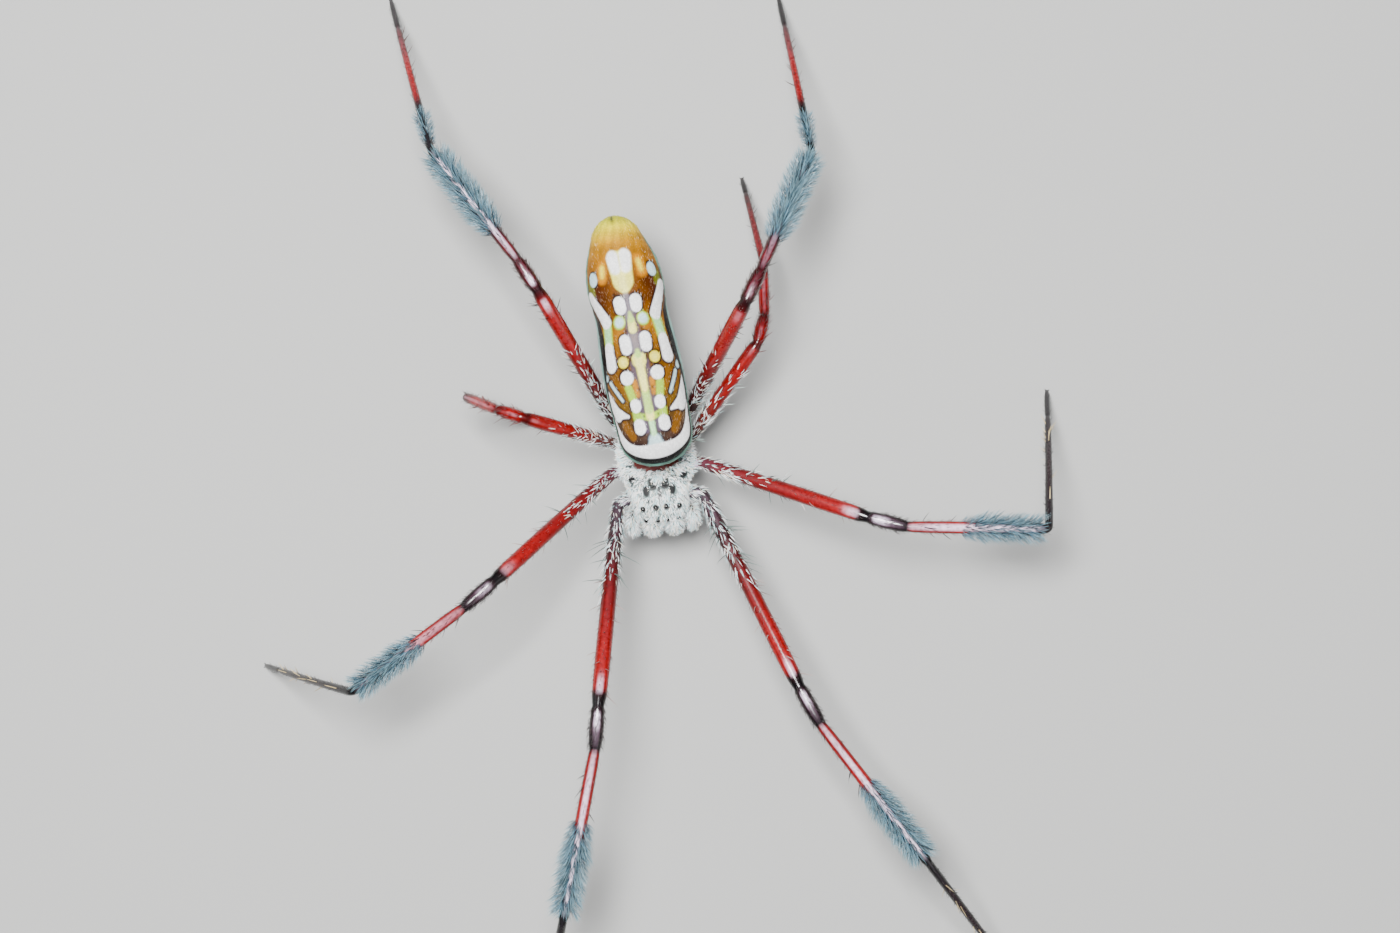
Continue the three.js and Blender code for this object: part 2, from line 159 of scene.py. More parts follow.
def smoothSizes(stations): # a smooth curve through each column of a table of sizes
    stations = np.array(stations, float)
    places, values = stations[:, 0], stations[:, 1:]
    slopes = np.gradient(values, places, axis=0)

    def sizeAt(place):
        place = np.clip(np.atleast_1d(np.asarray(place, float)), places[0], places[-1])
        i = np.clip(np.searchsorted(places, place, "right") - 1, 0, len(places) - 2)
        step = (places[i + 1] - places[i])[:, None]
        t = ((place - places[i]) / step[:, 0])[:, None]
        first = (1 + 2 * t) * (1 - t) ** 2 * values[i] + t * (1 - t) ** 2 * step * slopes[i]
        return first + t * t * (3 - 2 * t) * values[i + 1] + t * t * (t - 1) * step * slopes[i + 1]
    return sizeAt


# A body of rings along +Z: a filled circle extruded and resized ring by ring, then smoothed.
def ringedBody(name, rings, sides, levels):
    deselectAll()
    bpy.ops.mesh.primitive_circle_add(vertices=sides, radius=1, fill_type="NGON")
    piece = bpy.context.object
    piece.name = name
    bpy.ops.object.mode_set(mode="EDIT")
    bpy.ops.mesh.select_all(action="SELECT")
    start, width, height = rings[0]
    bpy.ops.transform.translate(value=(0, 0, start))
    bpy.ops.transform.resize(value=(width, height, 1))
    for (a0, w0, h0), (a1, w1, h1) in zip(rings, rings[1:]):
        bpy.ops.mesh.extrude_region_move(TRANSFORM_OT_translate={"value": (0, 0, a1 - a0)})
        bpy.ops.transform.resize(value=(w1 / w0, h1 / h0, 1))
    bpy.ops.mesh.select_all(action="SELECT")
    bpy.ops.mesh.normals_make_consistent(inside=False)
    bpy.ops.object.mode_set(mode="OBJECT")
    return applied(piece, "SUBSURF", levels=levels, render_levels=levels) if levels else piece


# A path with a frame of directions all along it. Easing rounds its corners over that length.
def framedPath(points, stations=None, easing=0.0, level=None, step=0.05):
    points = np.array(points, float)
    stations = np.arange(len(points), dtype=float) if stations is None else np.array(stations, float)
    lengths = np.r_[0, np.cumsum(np.linalg.norm(np.diff(points, axis=0), axis=1))]
    along = np.linspace(0, lengths[-1], int(lengths[-1] / step) + 2)
    centre = np.column_stack([np.interp(along, lengths, points[:, i]) for i in range(3)])
    station = np.interp(along, lengths, stations)
    if easing:
        reach = max(int(easing / step), 1)
        start, end = centre[0], centre[-1]
        before = start + np.outer(np.arange(-reach, 0), centre[1] - start)
        after = end + np.outer(np.arange(1, reach + 1), end - centre[-2])
        padded = np.vstack([before, centre, after])
        share = np.hanning(2 * reach + 3)[1:-1]
        share /= share.sum()
        centre = np.column_stack([np.convolve(padded[:, i], share, "valid") for i in range(3)])
    lie = unit(np.gradient(centre, axis=0))
    if level is None:
        lift = unit(up - lie * (lie @ up)[:, None])
        side = np.cross(lift, lie)
    else:
        side = unit(np.array(level) - lie * (lie @ np.array(level))[:, None])
        lift = np.cross(lie, side)
    along = np.r_[0, np.cumsum(np.linalg.norm(np.diff(centre, axis=0), axis=1))]
    return {"along": along, "station": station, "centre": centre, "lie": lie, "side": side, "lift": lift}


def along(path, key, place):
    values = path[key]
    if values.ndim == 1:
        return np.interp(place, path["along"], values)
    return np.column_stack([np.interp(place, path["along"], values[:, i]) for i in range(3)])


def atStation(path, station):
    return np.interp(station, path["station"], path["along"])


def laidAlong(piece, path): # bends a straight body along a path
    points = pointsOf(piece)
    place = np.clip(points[:, 2], 0, path["along"][-1])
    spill = points[:, 2] - place
    laid = along(path, "centre", place) + along(path, "lie", place) * spill[:, None]
    laid += unit(along(path, "side", place)) * points[:, :1]
    laid += unit(along(path, "lift", place)) * points[:, 1:2]
    movePoints(piece, laid)
    return piece


# Finishes. Each takes its markings from the mesh's own paint and adds its grain in nodes.
def finish(name, roughness, grain, mottle, bump, cells=0.0, **values):
    material = bpy.data.materials.new(name)
    material.use_nodes = True
    nodes, links = material.node_tree.nodes, material.node_tree.links
    shader = nodes["Principled BSDF"]
    for key, value in values.items():
        shader.inputs[key].default_value = value
    paint = nodes.new("ShaderNodeAttribute")
    paint.attribute_name = "paint"
    place = nodes.new("ShaderNodeTexCoord")
    noise = nodes.new("ShaderNodeTexNoise")
    noise.inputs["Scale"].default_value = grain
    noise.inputs["Detail"].default_value = 4
    links.new(place.outputs["Object"], noise.inputs["Vector"])
    spread = nodes.new("ShaderNodeMapRange")
    spread.inputs["From Min"].default_value = 0.3
    spread.inputs["From Max"].default_value = 0.7
    spread.inputs["To Min"].default_value = 1 - mottle
    spread.inputs["To Max"].default_value = 1 + mottle * 0.6
    links.new(noise.outputs["Fac"], spread.inputs["Value"])
    tinted = nodes.new("ShaderNodeVectorMath")
    tinted.operation = "SCALE"
    links.new(paint.outputs["Color"], tinted.inputs[0])
    links.new(spread.outputs["Result"], tinted.inputs["Scale"])
    colour = tinted.outputs["Vector"]
    height = noise.outputs["Fac"]
    if cells:
        pores = nodes.new("ShaderNodeTexVoronoi")
        pores.inputs["Scale"].default_value = cells
        links.new(place.outputs["Object"], pores.inputs["Vector"])
        rim = nodes.new("ShaderNodeMapRange")
        rim.inputs["From Max"].default_value = 0.6
        rim.inputs["To Min"].default_value = 1.1
        rim.inputs["To Max"].default_value = 0.82
        links.new(pores.outputs["Distance"], rim.inputs["Value"])
        granular = nodes.new("ShaderNodeVectorMath")
        granular.operation = "SCALE"
        links.new(colour, granular.inputs[0])
        links.new(rim.outputs["Result"], granular.inputs["Scale"])
        colour = granular.outputs["Vector"]
        height = pores.outputs["Distance"]
    links.new(colour, shader.inputs["Base Color"])
    gloss = nodes.new("ShaderNodeMapRange")
    gloss.inputs["To Min"].default_value = roughness * 0.8
    gloss.inputs["To Max"].default_value = min(roughness * 1.25, 1)
    links.new(noise.outputs["Fac"], gloss.inputs["Value"])
    dulled = nodes.new("ShaderNodeMath")
    dulled.operation = "MULTIPLY"
    links.new(gloss.outputs["Result"], dulled.inputs[0])
    links.new(paint.outputs["Alpha"], dulled.inputs[1])
    links.new(dulled.outputs["Value"], shader.inputs["Roughness"])
    relief = nodes.new("ShaderNodeBump")
    relief.inputs["Strength"].default_value = 0.7
    relief.inputs["Distance"].default_value = bump * mm
    links.new(height, relief.inputs["Height"])
    links.new(relief.outputs["Normal"], shader.inputs["Normal"])
    return material


finishes = {
    "abdomenCuticle": finish("abdomenCuticle", 0.46, 900, 0.1, 0.02, cells=5200,
                             **{"Coat Weight": 0.1, "Coat Roughness": 0.15, "Specular IOR Level": 0.1}),
    "headCuticle": finish("headCuticle", 0.5, 2600, 0.3, 0.03),
    "legCuticle": finish("legCuticle", 0.3, 3200, 0.3, 0.014,
                         **{"Coat Weight": 0.35, "Coat Roughness": 0.14, "Specular IOR Level": 0.3}),
    "jawCuticle": finish("jawCuticle", 0.25, 2400, 0.25, 0.012,
                         **{"Coat Weight": 0.5, "Coat Roughness": 0.1}),
    "fangCuticle": finish("fangCuticle", 0.14, 1800, 0.25, 0.004,
                          **{"Coat Weight": 0.8, "Coat Roughness": 0.05}),
    "eyeLens": finish("eyeLens", 0.06, 1500, 0.2, 0.001,
                      **{"Coat Weight": 1.0, "Coat Roughness": 0.03}),
    "silverHair": finish("silverHair", 0.42, 2200, 0.08, 0.004,
                         **{"Sheen Weight": 0.3, "Sheen Roughness": 0.4}),
    "brushHair": finish("brushHair", 0.34, 1800, 0.2, 0.004,
                        **{"Sheen Weight": 0.5, "Sheen Roughness": 0.35}),
    "spineCuticle": finish("spineCuticle", 0.3, 2400, 0.15, 0.004, **{"Coat Weight": 0.3}),
}
print("finishes ready")


# The abdomen: its own axis runs from the front end to the rear. A station is
# [distance, half width, half height, middle height].
abdomen = {
    "frontEnd": (0.52, 1.2),
    "yaw": 4.9,
    "length": 22.45,
    "roundFront": 2.7,
    "roundRear": 1.6,
    "boxiness": 2.12,
    "skinDepth": 0.04,
    "ringSpacing": 0.72,
    "relief": 0.04,
    "roll": 0.09, # the markings lie a little to its left
    "stations": [
        [0, 3.4, 2.9, 13.6], [3, 3.38, 3.3, 13.1], [6, 3.55, 3.6, 12.75], [8.5, 3.65, 3.7, 12.6],
        [11, 3.54, 3.7, 12.6], [13.7, 3.3, 3.5, 12.6], [16.3, 3.5, 3.35, 12.6], [18.4, 3.2, 3.05, 12.65],
        [20.4, 2.4, 2.5, 12.75], [22.45, 1.75, 1.9, 12.8],
    ],
}
abdomenSizes = smoothSizes(abdomen["stations"])
marking = {
    "white": shade("FFFFFF"),
    "silver": shade("DDF0F2"),
    "lime": shade("C9E272"),
    "cream": shade("F6F2A0"),
    "yellow": shade("F8EC72"),
    "gold": shade("D8AA2C"),
    "mint": shade("CBEFC4"),
    "purple": shade("3A2240"),
    "smoke": shade("8A7E96"),
    "tan": shade("A98648"),
    "olive": shade("9DA02C"),
    "teal": shade("A4D6C8"),
    "ink": shade("170F20"),
}
# The ground colour down the back, and the marks on it. A mark is a streak from one point to another,
# [s, across, radius] each, on both sides unless it lies on the middle line, and how soft its edge is.
groundAlong = [
    (0.0, "7A6662"), (3.2, "7A6658"), (4.5, "8C7448"), (5.3, "A08848"), (7.5, "AC8840"), (9.0, "A07E3C"),
    (10.5, "AE8A34"), (12.2, "C49A2E"), (13.4, "A88230"), (14.6, "926A28"), (16.0, "9E7622"), (17.3, "B48A20"),
    (18.8, "C49C20"), (19.9, "D2AE22"), (20.6, "E4CC2C"), (21.4, "F0E63C"), (22.45, "D6DA34"),
]
marks = [
    ("smoke", [3.3, 0.55, 0.32], [9.2, 0.62, 0.24], 0.16),
    ("smoke", [10.1, 0.2, 0.5], [13.3, 0.3, 0.42], 0.16),
    ("smoke", [13.8, 0.0, 0.35], [15.2, 0.0, 0.28], 0.16),
    ("gold", [6.4, 0.72, 0.2], [7.6, 0.76, 0.22], 0.16),
    ("tan", [2.95, 1.95, 0.36], [4.0, 2.4, 0.4], 0.12),
    ("silver", [2.0, 0.0, 0.8], [2.3, 0.0, 0.62], 0.2),
    ("mint", [2.9, 0.0, 0.26], [3.9, 0.0, 0.28], 0.08),
    ("lime", [4.35, 0.1, 0.3], [4.55, 0.85, 0.26], 0.12),
    ("cream", [4.4, 0.0, 0.4], [5.1, 0.0, 0.36], 0.08),
    ("lime", [5.0, 0.0, 0.36], [6.6, 0.0, 0.32], 0.12),
    ("cream", [6.9, 0.0, 0.34], [9.3, 0.0, 0.4], 0.12),
    ("cream", [9.3, 0.12, 0.5], [9.6, 0.2, 0.42], 0.08),
    ("lime", [9.9, 0.0, 0.3], [10.25, 0.0, 0.18], 0.12),
    ("lime", [6.2, 1.22, 0.34], [7.2, 1.38, 0.34], 0.12),
    ("lime", [4.3, 1.2, 0.36], [4.9, 1.22, 0.34], 0.12),
    ("white", [3.5, 1.15, 0.53], [3.85, 1.15, 0.5], 0.05),
    ("white", [5.4, 1.1, 0.46], [5.66, 1.1, 0.46], 0.05),
    ("white", [8.02, 1.33, 0.57], [8.1, 1.33, 0.57], 0.05),
    ("yellow", [9.42, 1.38, 0.46], [9.5, 1.38, 0.46], 0.07),
    ("cream", [9.42, 1.38, 0.3], [9.5, 1.38, 0.3], 0.2),
    ("white", [10.5, 0.88, 0.48], [11.3, 0.92, 0.5], 0.05),
    ("lime", [12.9, 1.14, 0.58], [12.98, 1.12, 0.58], 0.08),
    ("silver", [12.9, 1.14, 0.42], [12.98, 1.12, 0.42], 0.12),
    ("cream", [12.15, 0.0, 0.4], [12.9, 0.0, 0.33], 0.1),
    ("lime", [13.0, 0.0, 0.3], [13.6, 0.0, 0.14], 0.14),
    ("white", [14.1, 0.75, 0.54], [14.62, 0.76, 0.56], 0.05),
    ("cream", [15.85, 0.0, 0.5], [16.4, 0.0, 0.9], 0.2),
    ("cream", [16.4, 0.0, 0.92], [18.3, 0.3, 0.88], 0.12),
    ("white", [17.6, 0.5, 0.5], [18.65, 0.66, 0.62], 0.16),
    ("gold", [17.0, 1.85, 0.5], [18.1, 1.8, 0.5], 0.22),
    ("yellow", [17.2, 1.8, 0.2], [17.9, 1.75, 0.25], 0.25),
    ("olive", [16.0, 2.95, 0.4], [16.5, 3.0, 0.4], 0.14),
    ("silver", [17.0, 2.68, 0.46], [17.15, 2.68, 0.46], 0.07),
    ("lime", [13.0, 2.3, 0.5], [10.9, 2.4, 0.44], 0.12),
    ("mint", [12.6, 2.3, 0.34], [11.3, 2.38, 0.34], 0.14),
    ("white", [15.5, 3.16, 0.42], [13.2, 2.32, 0.52], 0.06),
    ("white", [10.9, 2.4, 0.44], [9.35, 2.46, 0.52], 0.06),
    ("white", [8.1, 3.42, 0.2], [6.3, 3.16, 0.36], 0.05),
    ("white", [6.3, 3.16, 0.36], [5.1, 2.86, 0.52], 0.05),
    ("white", [5.2, 2.8, 0.46], [4.75, 1.95, 0.14], 0.05),
    ("silver", [7.9, 2.78, 0.17], [6.2, 2.1, 0.14], 0.09),
    ("silver", [8.4, 3.05, 0.22], [8.65, 3.12, 0.2], 0.08),
]
outlined = {"white", "cream", "yellow", "silver"} # these have a dark rim
paleRear = 15.2 # past this the cream has none
# The lines along each side: how high over the middle of the flank the pale one and the dark one reach.
sideLines = [
    [0, 0.4, 0.72], [1, 0.38, 0.62], [2, 0.3, 0.45], [3, 0.24, 0.37], [6, 0.22, 0.34], [8.2, 0.3, 0.43],
    [9.5, 0.38, 0.57], [12, 0.38, 0.6], [13.4, 0.3, 0.5], [14.5, 0.14, 0.24], [16, 0.28, 0.28], [17.5, 0.36, 0.36],
    [19.6, 0.34, 0.34], [20.6, 0.1, 0.1], [22.45, 0.0, 0.0],
]


def roundedness(place, start, end, roundStart, roundEnd): # 0 at the very ends, 1 past the rounding
    near = np.maximum((start + roundStart - place) / roundStart, (place - end + roundEnd) / roundEnd)
    return np.sqrt(np.clip(1 - np.maximum(near, 0) ** 2, 0, 1))


def ringPlaces(start, end, roundStart, roundEnd, spacing, capRings=7):
    turn = np.linspace(0.16, math.pi / 2, capRings)
    front = start + roundStart * (1 - np.cos(turn))
    rear = end - roundEnd * (1 - np.cos(turn[::-1]))
    middle = np.linspace(front[-1], rear[0], max(int((rear[0] - front[-1]) / spacing), 1) + 1)[1:-1]
    return np.concatenate([front, middle, rear])


def squared(across, upward, boxiness): # a circle's directions carried out to a fuller section
    size = np.maximum(np.hypot(across, upward), 1e-9)
    full = np.abs(across / size) ** boxiness + np.abs(upward / size) ** boxiness
    return full ** (-1 / boxiness)


def arcOf(across): # from the place seen from above to the length down round the side
    return 3.5 * np.arcsin(np.clip(across / 3.5, -0.985, 0.985))


def streakDistance(s, arc, start, end): # under 1 inside the streak
    (s0, t0, r0), (s1, t1, r1) = start, end
    a0, a1 = arcOf(t0), arcOf(t1)
    r0, r1 = [r / math.sqrt(max(1 - (t / 3.6) ** 2, 0.25)) ** 0.5 for t, r in ((t0, r0), (t1, r1))]
    ds, da = s1 - s0, a1 - a0
    part = np.clip(((s - s0) * ds + (arc - a0) * da) / (ds * ds + da * da), 0, 1)
    return np.hypot(s - s0 - part * ds, arc - a0 - part * da) / (r0 + part * (r1 - r0)), r0 + part * (r1 - r0)


def markMask(s, arc, start, end, spread=0.0, soft=0.07):
    sides = [(start, end)]
    if max(abs(start[1]), abs(end[1])) > 0:
        sides.append(([start[0], -start[1], start[2]], [end[0], -end[1], end[2]]))
    mask = np.zeros_like(s)
    for first, last in sides:
        near, radius = streakDistance(s, arc, first, last)
        beyond = (near - 1) * radius - spread
        mask = np.maximum(mask, 1 - eased(-soft, soft, beyond))
    return mask


def abdomenPaint(s, across, upward):
    width, height, _ = abdomenSizes(s).T
    angle = np.arctan2(across / width, upward / height) # 0 on top, turning to each side
    arc = 3.5 * angle - abdomen["roll"]
    codes = np.array([shade(code) for _, code in groundAlong])
    colours = np.column_stack([np.interp(s, [a for a, _ in groundAlong], codes[:, i]) for i in range(3)])
    colours *= (1 + 0.12 * np.sin(s * 3.1 + arc * 2.2) * np.sin(arc * 2.9 - s * 1.3))[:, None]
    brown = eased(13.7, 14.8, s) * (1 - eased(16.2, 17.4, s)) * eased(1.5, 3.2, np.abs(arc) + 0.5 * (s - 15))
    colours = blended(colours, shade("7E5018"), brown * 0.85)
    rim = np.zeros_like(s)
    for name, start, end, soft in marks:
        if name in outlined and not (name == "cream" and start[0] > paleRear):
            pale = 0.0 if name == "white" and 17 < start[0] < 18 else 1.0
            rim = np.maximum(rim, pale * markMask(s, arc, start, end, spread=0.14, soft=0.07))
    colours = blended(colours, marking["purple"], rim * 0.9)
    for name, start, end, soft in marks:
        mask = markMask(s, arc, start, end, soft=soft)
        colours = blended(colours, marking[name], mask * (0.75 if name == "smoke" else 1.0))
    # The white yoke over the front end, and the pale and dark lines along each side.
    brink = s - (1.98 + 0.0105 * arc ** 4)
    yoke = 1 - eased(-0.06, 0.08, brink)
    dusk = (1 - eased(0.08, 0.3, brink)) * 0.6 * (1 - yoke) * eased(1.0, 1.4, np.abs(arc))
    colours = blended(colours, marking["purple"], dusk)
    colours = blended(colours, marking["white"], yoke)
    edge = upward / height
    _, paleTop, darkTop = np.array(sideLines).T
    paleTop = np.interp(s, [row[0] for row in sideLines], paleTop)
    darkTop = np.interp(s, [row[0] for row in sideLines], darkTop)
    ink = (1 - eased(darkTop - 0.03, darkTop + 0.03, edge)) * eased(0.02, 0.06, darkTop - paleTop)
    colours = blended(colours, marking["ink"], ink)
    flank = np.tile(marking["teal"], (len(s), 1)) * (0.8 + 0.2 * np.sin(s * 2.1 + arc))[:, None]
    flank = blended(flank, marking["silver"], 0.5 * eased(4, 8, s) * (1 - eased(13, 15, s)))
    flank = blended(flank, shade("D9D92C"), eased(19.3, 20.6, s))
    low = (1 - eased(paleTop - 0.05, paleTop + 0.02, edge))
    colours = blended(colours, flank, low)
    # Lower down the flank is brown with slanting pale threads, and the underside is dark with yellow flecks.
    brownFlank = (1 - eased(-0.12, 0.08, edge)) * (1 - eased(19.5, 21.5, s))
    threads = eased(0.72, 0.95, np.sin(s * 2.4 + arc * 1.7 + 0.6 * np.sin(s * 1.1)))
    russet = shade("4A3418")
    colours = blended(colours, russet + threads[:, None] * (marking["tan"] - russet), brownFlank)
    under = 1 - eased(-0.55, -0.3, edge)
    fleck = eased(0.62, 0.86, np.sin(s * 2.7 + 1.3) * np.cos(arc * 1.9 + s * 0.4) + 0.25 * np.sin(s * 7.9 - arc * 3))
    belly = shade("2E2018")
    colours = blended(colours, belly + fleck[:, None] * (marking["yellow"] - belly) * 0.75, under)
    plate = (1 - eased(0.9, 1.3, np.abs(across))) * (1 - eased(3.4, 4.2, s)) * under
    notch = np.exp(-(np.hypot(s - 22.1, arc) / 0.4) ** 2)
    colours = blended(colours, shade("6A7060"), notch * 0.8)
    return np.clip(blended(colours, shade("5A4632"), plate), 0, 1)


def abdomenSkin():
    inset = abdomen["skinDepth"]
    places = ringPlaces(0, abdomen["length"], abdomen["roundFront"], abdomen["roundRear"], abdomen["ringSpacing"])
    width, height, _ = abdomenSizes(places).T
    full = roundedness(places, 0, abdomen["length"], abdomen["roundFront"], abdomen["roundRear"])
    rings = list(zip(places, (width - inset) * full, (height - inset) * full))
    skin = ringedBody("abdomenSkin", rings, 32, 3)
    points = pointsOf(skin)
    s = points[:, 2].copy()
    width, height, middle = abdomenSizes(s).T
    points[:, :2] *= squared(points[:, 0] / width, points[:, 1] / height, abdomen["boxiness"])[:, None]
    across, upward = points[:, 0].copy(), points[:, 1].copy()
    colours = abdomenPaint(s, across, upward)
    # Pale marks stand a hair's breadth proud, muscle pits sink in, and fine folds run down the sides.
    tone = np.clip(colours.min(axis=1) * 1.4, 0, 1)
    outward = unit(np.column_stack([across / width ** 2, upward / height ** 2]))
    wrinkles = 0.02 * (1 + np.sin(s * 6.5)) * (1 - eased(-0.2, 0.5, upward / height))
    relief = abdomen["relief"] * (tone - 1) - wrinkles
    for place, pit in ((4.5, 0.66), (6.9, 0.66), (9.9, 0.72), (12.1, 0.75), (15.4, 1.15)):
        for sign in (1, -1):
            reach = np.hypot(s - place, arcOf(across) - sign * pit) / 0.12
            relief -= 0.05 * np.exp(-reach ** 2) * (upward > 0)
            colours = blended(colours, marking["ink"], 0.6 * np.exp(-reach ** 2) * (upward > 0))
    points[:, :2] += outward * relief[:, None]
    yaw = math.radians(abdomen["yaw"])
    startX, startY = abdomen["frontEnd"]
    placed = np.column_stack([
        startX - s * math.sin(yaw) - points[:, 0] * math.cos(yaw),
        startY + s * math.cos(yaw) - points[:, 0] * math.sin(yaw),
        middle + points[:, 1],
    ])
    movePoints(skin, placed)
    paintPoints(skin, colours)
    return skin


abdomenPiece = finished(abdomenSkin(), finishes["abdomenCuticle"], ["abdomen"])
print("abdomen", len(abdomenPiece.data.polygons))


# Head and thorax: the back over the breastplate, made one skin. A station is [y, half width, height].
head = {
    "rim": 8.9,
    "under": 0.35,
    "roundFront": 1.3,
    "roundRear": 1.5,
    "boxiness": 2.3,
    "stations": [
        [-4.0, 2.35, 1.55], [-2.7, 2.5, 2.05], [-1.2, 2.6, 2.3], [0.4, 3.2, 1.7],
        [2.1, 3.45, 1.1], [3.8, 3.1, 0.7], [5.3, 2.1, 0.4],
    ],
    "coatDepth": 0.14,
    "voxel": 0.1,
}
breastplate = {
    "middle": 7.9,
    "depth": 1.3,
    "roundFront": 1.2,
    "roundRear": 2.0,
    "boxiness": 2.6,
    "stations": [[-1.9, 1.6, 1.0], [0.6, 1.85, 1.0], [3.0, 1.5, 1.0], [5.0, 0.9, 1.0]],
}
headSizes = smoothSizes(head["stations"])
# Grooves pressed into the back, [x, y] to [x, y], with half width and depth, on both sides.
grooves = [
    ([0.15, 1.05], [1.5, 0.5], 0.22, 0.2),
    ([1.5, 0.5], [2.75, -0.35], 0.22, 0.2),
    ([0.0, 2.4], [0.35, 2.4], 0.25, 0.25),
    ([0.9, 2.2], [2.9, 1.3], 0.2, 0.12),
    ([0.9, 2.7], [3.1, 2.7], 0.2, 0.12),
    ([0.8, 3.2], [2.7, 4.1], 0.2, 0.12),
]
# Places with little or no hair: [x, y], half width across and along, and how bare they are.
bare = [
    ([2.3, 0.32], 0.32, 0.36, 1.0),
    ([1.15, -0.85], 0.3, 0.55, 1.0),
    ([1.5, 0.1], 0.16, 0.36, 0.7),
    ([0.53, -0.5], 0.4, 0.36, 1.0),
    ([0.75, -0.1], 0.16, 0.3, 0.9),
    ([0.06, -1.2], 0.1, 0.7, 0.85),
    ([1.05, -1.75], 0.14, 0.2, 0.7),
    ([2.5, 1.5], 0.3, 0.2, 0.6),
]
# The red-brown patch under the abdomen's front end.
saddle = {"halfWidth": 2.1, "front": 0.9, "curve": 0.11, "rear": 2.5}


def shellBody(name, form, sizeAt, middle, depth, inset, sides, boxiness):
    start, end = form["stations"][0][0], form["stations"][-1][0]
    places = ringPlaces(start, end, form["roundFront"], form["roundRear"], 0.8)
    width, height = sizeAt(places).T
    full = roundedness(places, start, end, form["roundFront"], form["roundRear"])
    body = ringedBody(name, list(zip(places, (width - inset) * full, (height - inset) * full)), sides, 2)
    points = pointsOf(body)
    width, height = sizeAt(points[:, 2]).T
    points[:, :2] *= squared(points[:, 0] / width, points[:, 1] / height, boxiness)[:, None]
    points[:, 1] *= np.where(points[:, 1] < 0, depth / height, 1)
    placed = np.column_stack([-points[:, 0], points[:, 2], middle + points[:, 1]])
    movePoints(body, placed)
    return body


def lineNear(x, y, start, end): # distance to a line drawn on the back, alike on both sides
    x = np.abs(x)
    dx, dy = end[0] - start[0], end[1] - start[1]
    part = np.clip(((x - start[0]) * dx + (y - start[1]) * dy) / (dx * dx + dy * dy), 0, 1)
    return np.hypot(x - start[0] - part * dx, y - start[1] - part * dy)


def saddleShare(x, y): # 1 inside the saddle, with a ragged edge
    ragged = 0.08 * np.sin(x * 9) + 0.06 * np.sin(x * 23 + 1) + saddle["curve"] * x * x
    inside = 1 - eased(saddle["halfWidth"] - 0.25, saddle["halfWidth"], np.abs(x))
    inside = inside * eased(-0.1, 0.1, y - saddle["front"] - ragged)
    return inside * (1 - eased(-0.3, 0, y - saddle["rear"]))


def bareness(x, y): # 1 in the middle of a bare place, 0 outside
    most = np.zeros_like(x)
    for (bx, by), across, lengthwise, dark in bare:
        away = np.hypot((np.abs(x) - bx) / across, (y - by) / lengthwise)
        most = np.maximum(most, dark * (1 - eased(0.75, 1.2, away)))
    return most


eyeNames = [
    f"eye_{row}_{place}_{side}"
    for row in ("front", "rear") for place in ("median", "lateral") for side in ("left", "right")
]


def nodeCentre(name):
    lowest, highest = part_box(name)
    return (np.array(lowest) + np.array(highest)) / 2 / mm - bodyOrigin


def headSkin():
    back = shellBody("back", head, headSizes, head["rim"], head["under"], head["coatDepth"], 32, head["boxiness"])
    plate = shellBody("plate", breastplate, smoothSizes(breastplate["stations"]), breastplate["middle"],
                      breastplate["depth"], 0.05, 24, breastplate["boxiness"])
    skin = joined("headSkin", [back, plate])
    applied(skin, "REMESH", mode="VOXEL", voxel_size=head["voxel"])
    applied(skin, "SMOOTH", factor=0.5, iterations=4)
    points, normals = pointsOf(skin), normalsOf(skin)
    x, y, z = points.T
    top = eased(head["rim"] - 0.2, head["rim"] + 0.4, z)
    sink = np.zeros_like(x)
    for start, end, width, depth in grooves:
        sink += depth * np.exp(-(lineNear(x, y, start, end) / width) ** 2) * top
    for name in eyeNames:
        away = np.linalg.norm(points - nodeCentre(name), axis=1)
        sink -= 0.16 * np.exp(-(away / 0.33) ** 2)
    moved = points - normals * sink[:, None]
    movePoints(skin, moved)
    ground = np.tile(shade("AEBAB8"), (len(x), 1))
    # Painted shade: the grooves are darker the deeper they sink in.
    ground = blended(ground, shade("6A7678"), 0.6 * np.clip(sink / 0.15, 0, 1))
    ground = blended(ground, shade("1E2A2E"), bareness(x, y) * top)
    ground = blended(ground, shade("963C28"), saddleShare(x, y) * top)
    belly = 1 - eased(7.5, 8.4, z)
    middle = (1 - eased(0.3, 0.9, np.abs(x) + 0.15 * np.sin(y * 4))) * eased(-1.6, -0.9, y)
    under = blended(np.tile(shade("2A1C18"), (len(x), 1)), shade("C9A23A"), middle * 0.85)
    ground = ground + (under - ground) * belly[:, None]
    paintPoints(skin, ground)
    return skin


headPiece = headSkin()
headSurface = {"points": pointsOf(headPiece), "normals": normalsOf(headPiece)}
print("head", len(headPiece.data.polygons))


def headTop(x, y): # the highest point of the skin near a place seen from above
    points = headSurface["points"]
    near = np.hypot(points[:, 0] - x, points[:, 1] - y) < 0.12
    return points[near, 2].max()


# Two small horns on the head, dark and blunt.
horns = {"x": 0.53, "y": -0.5, "radius": 0.24, "height": 0.62, "sunk": 0.2}


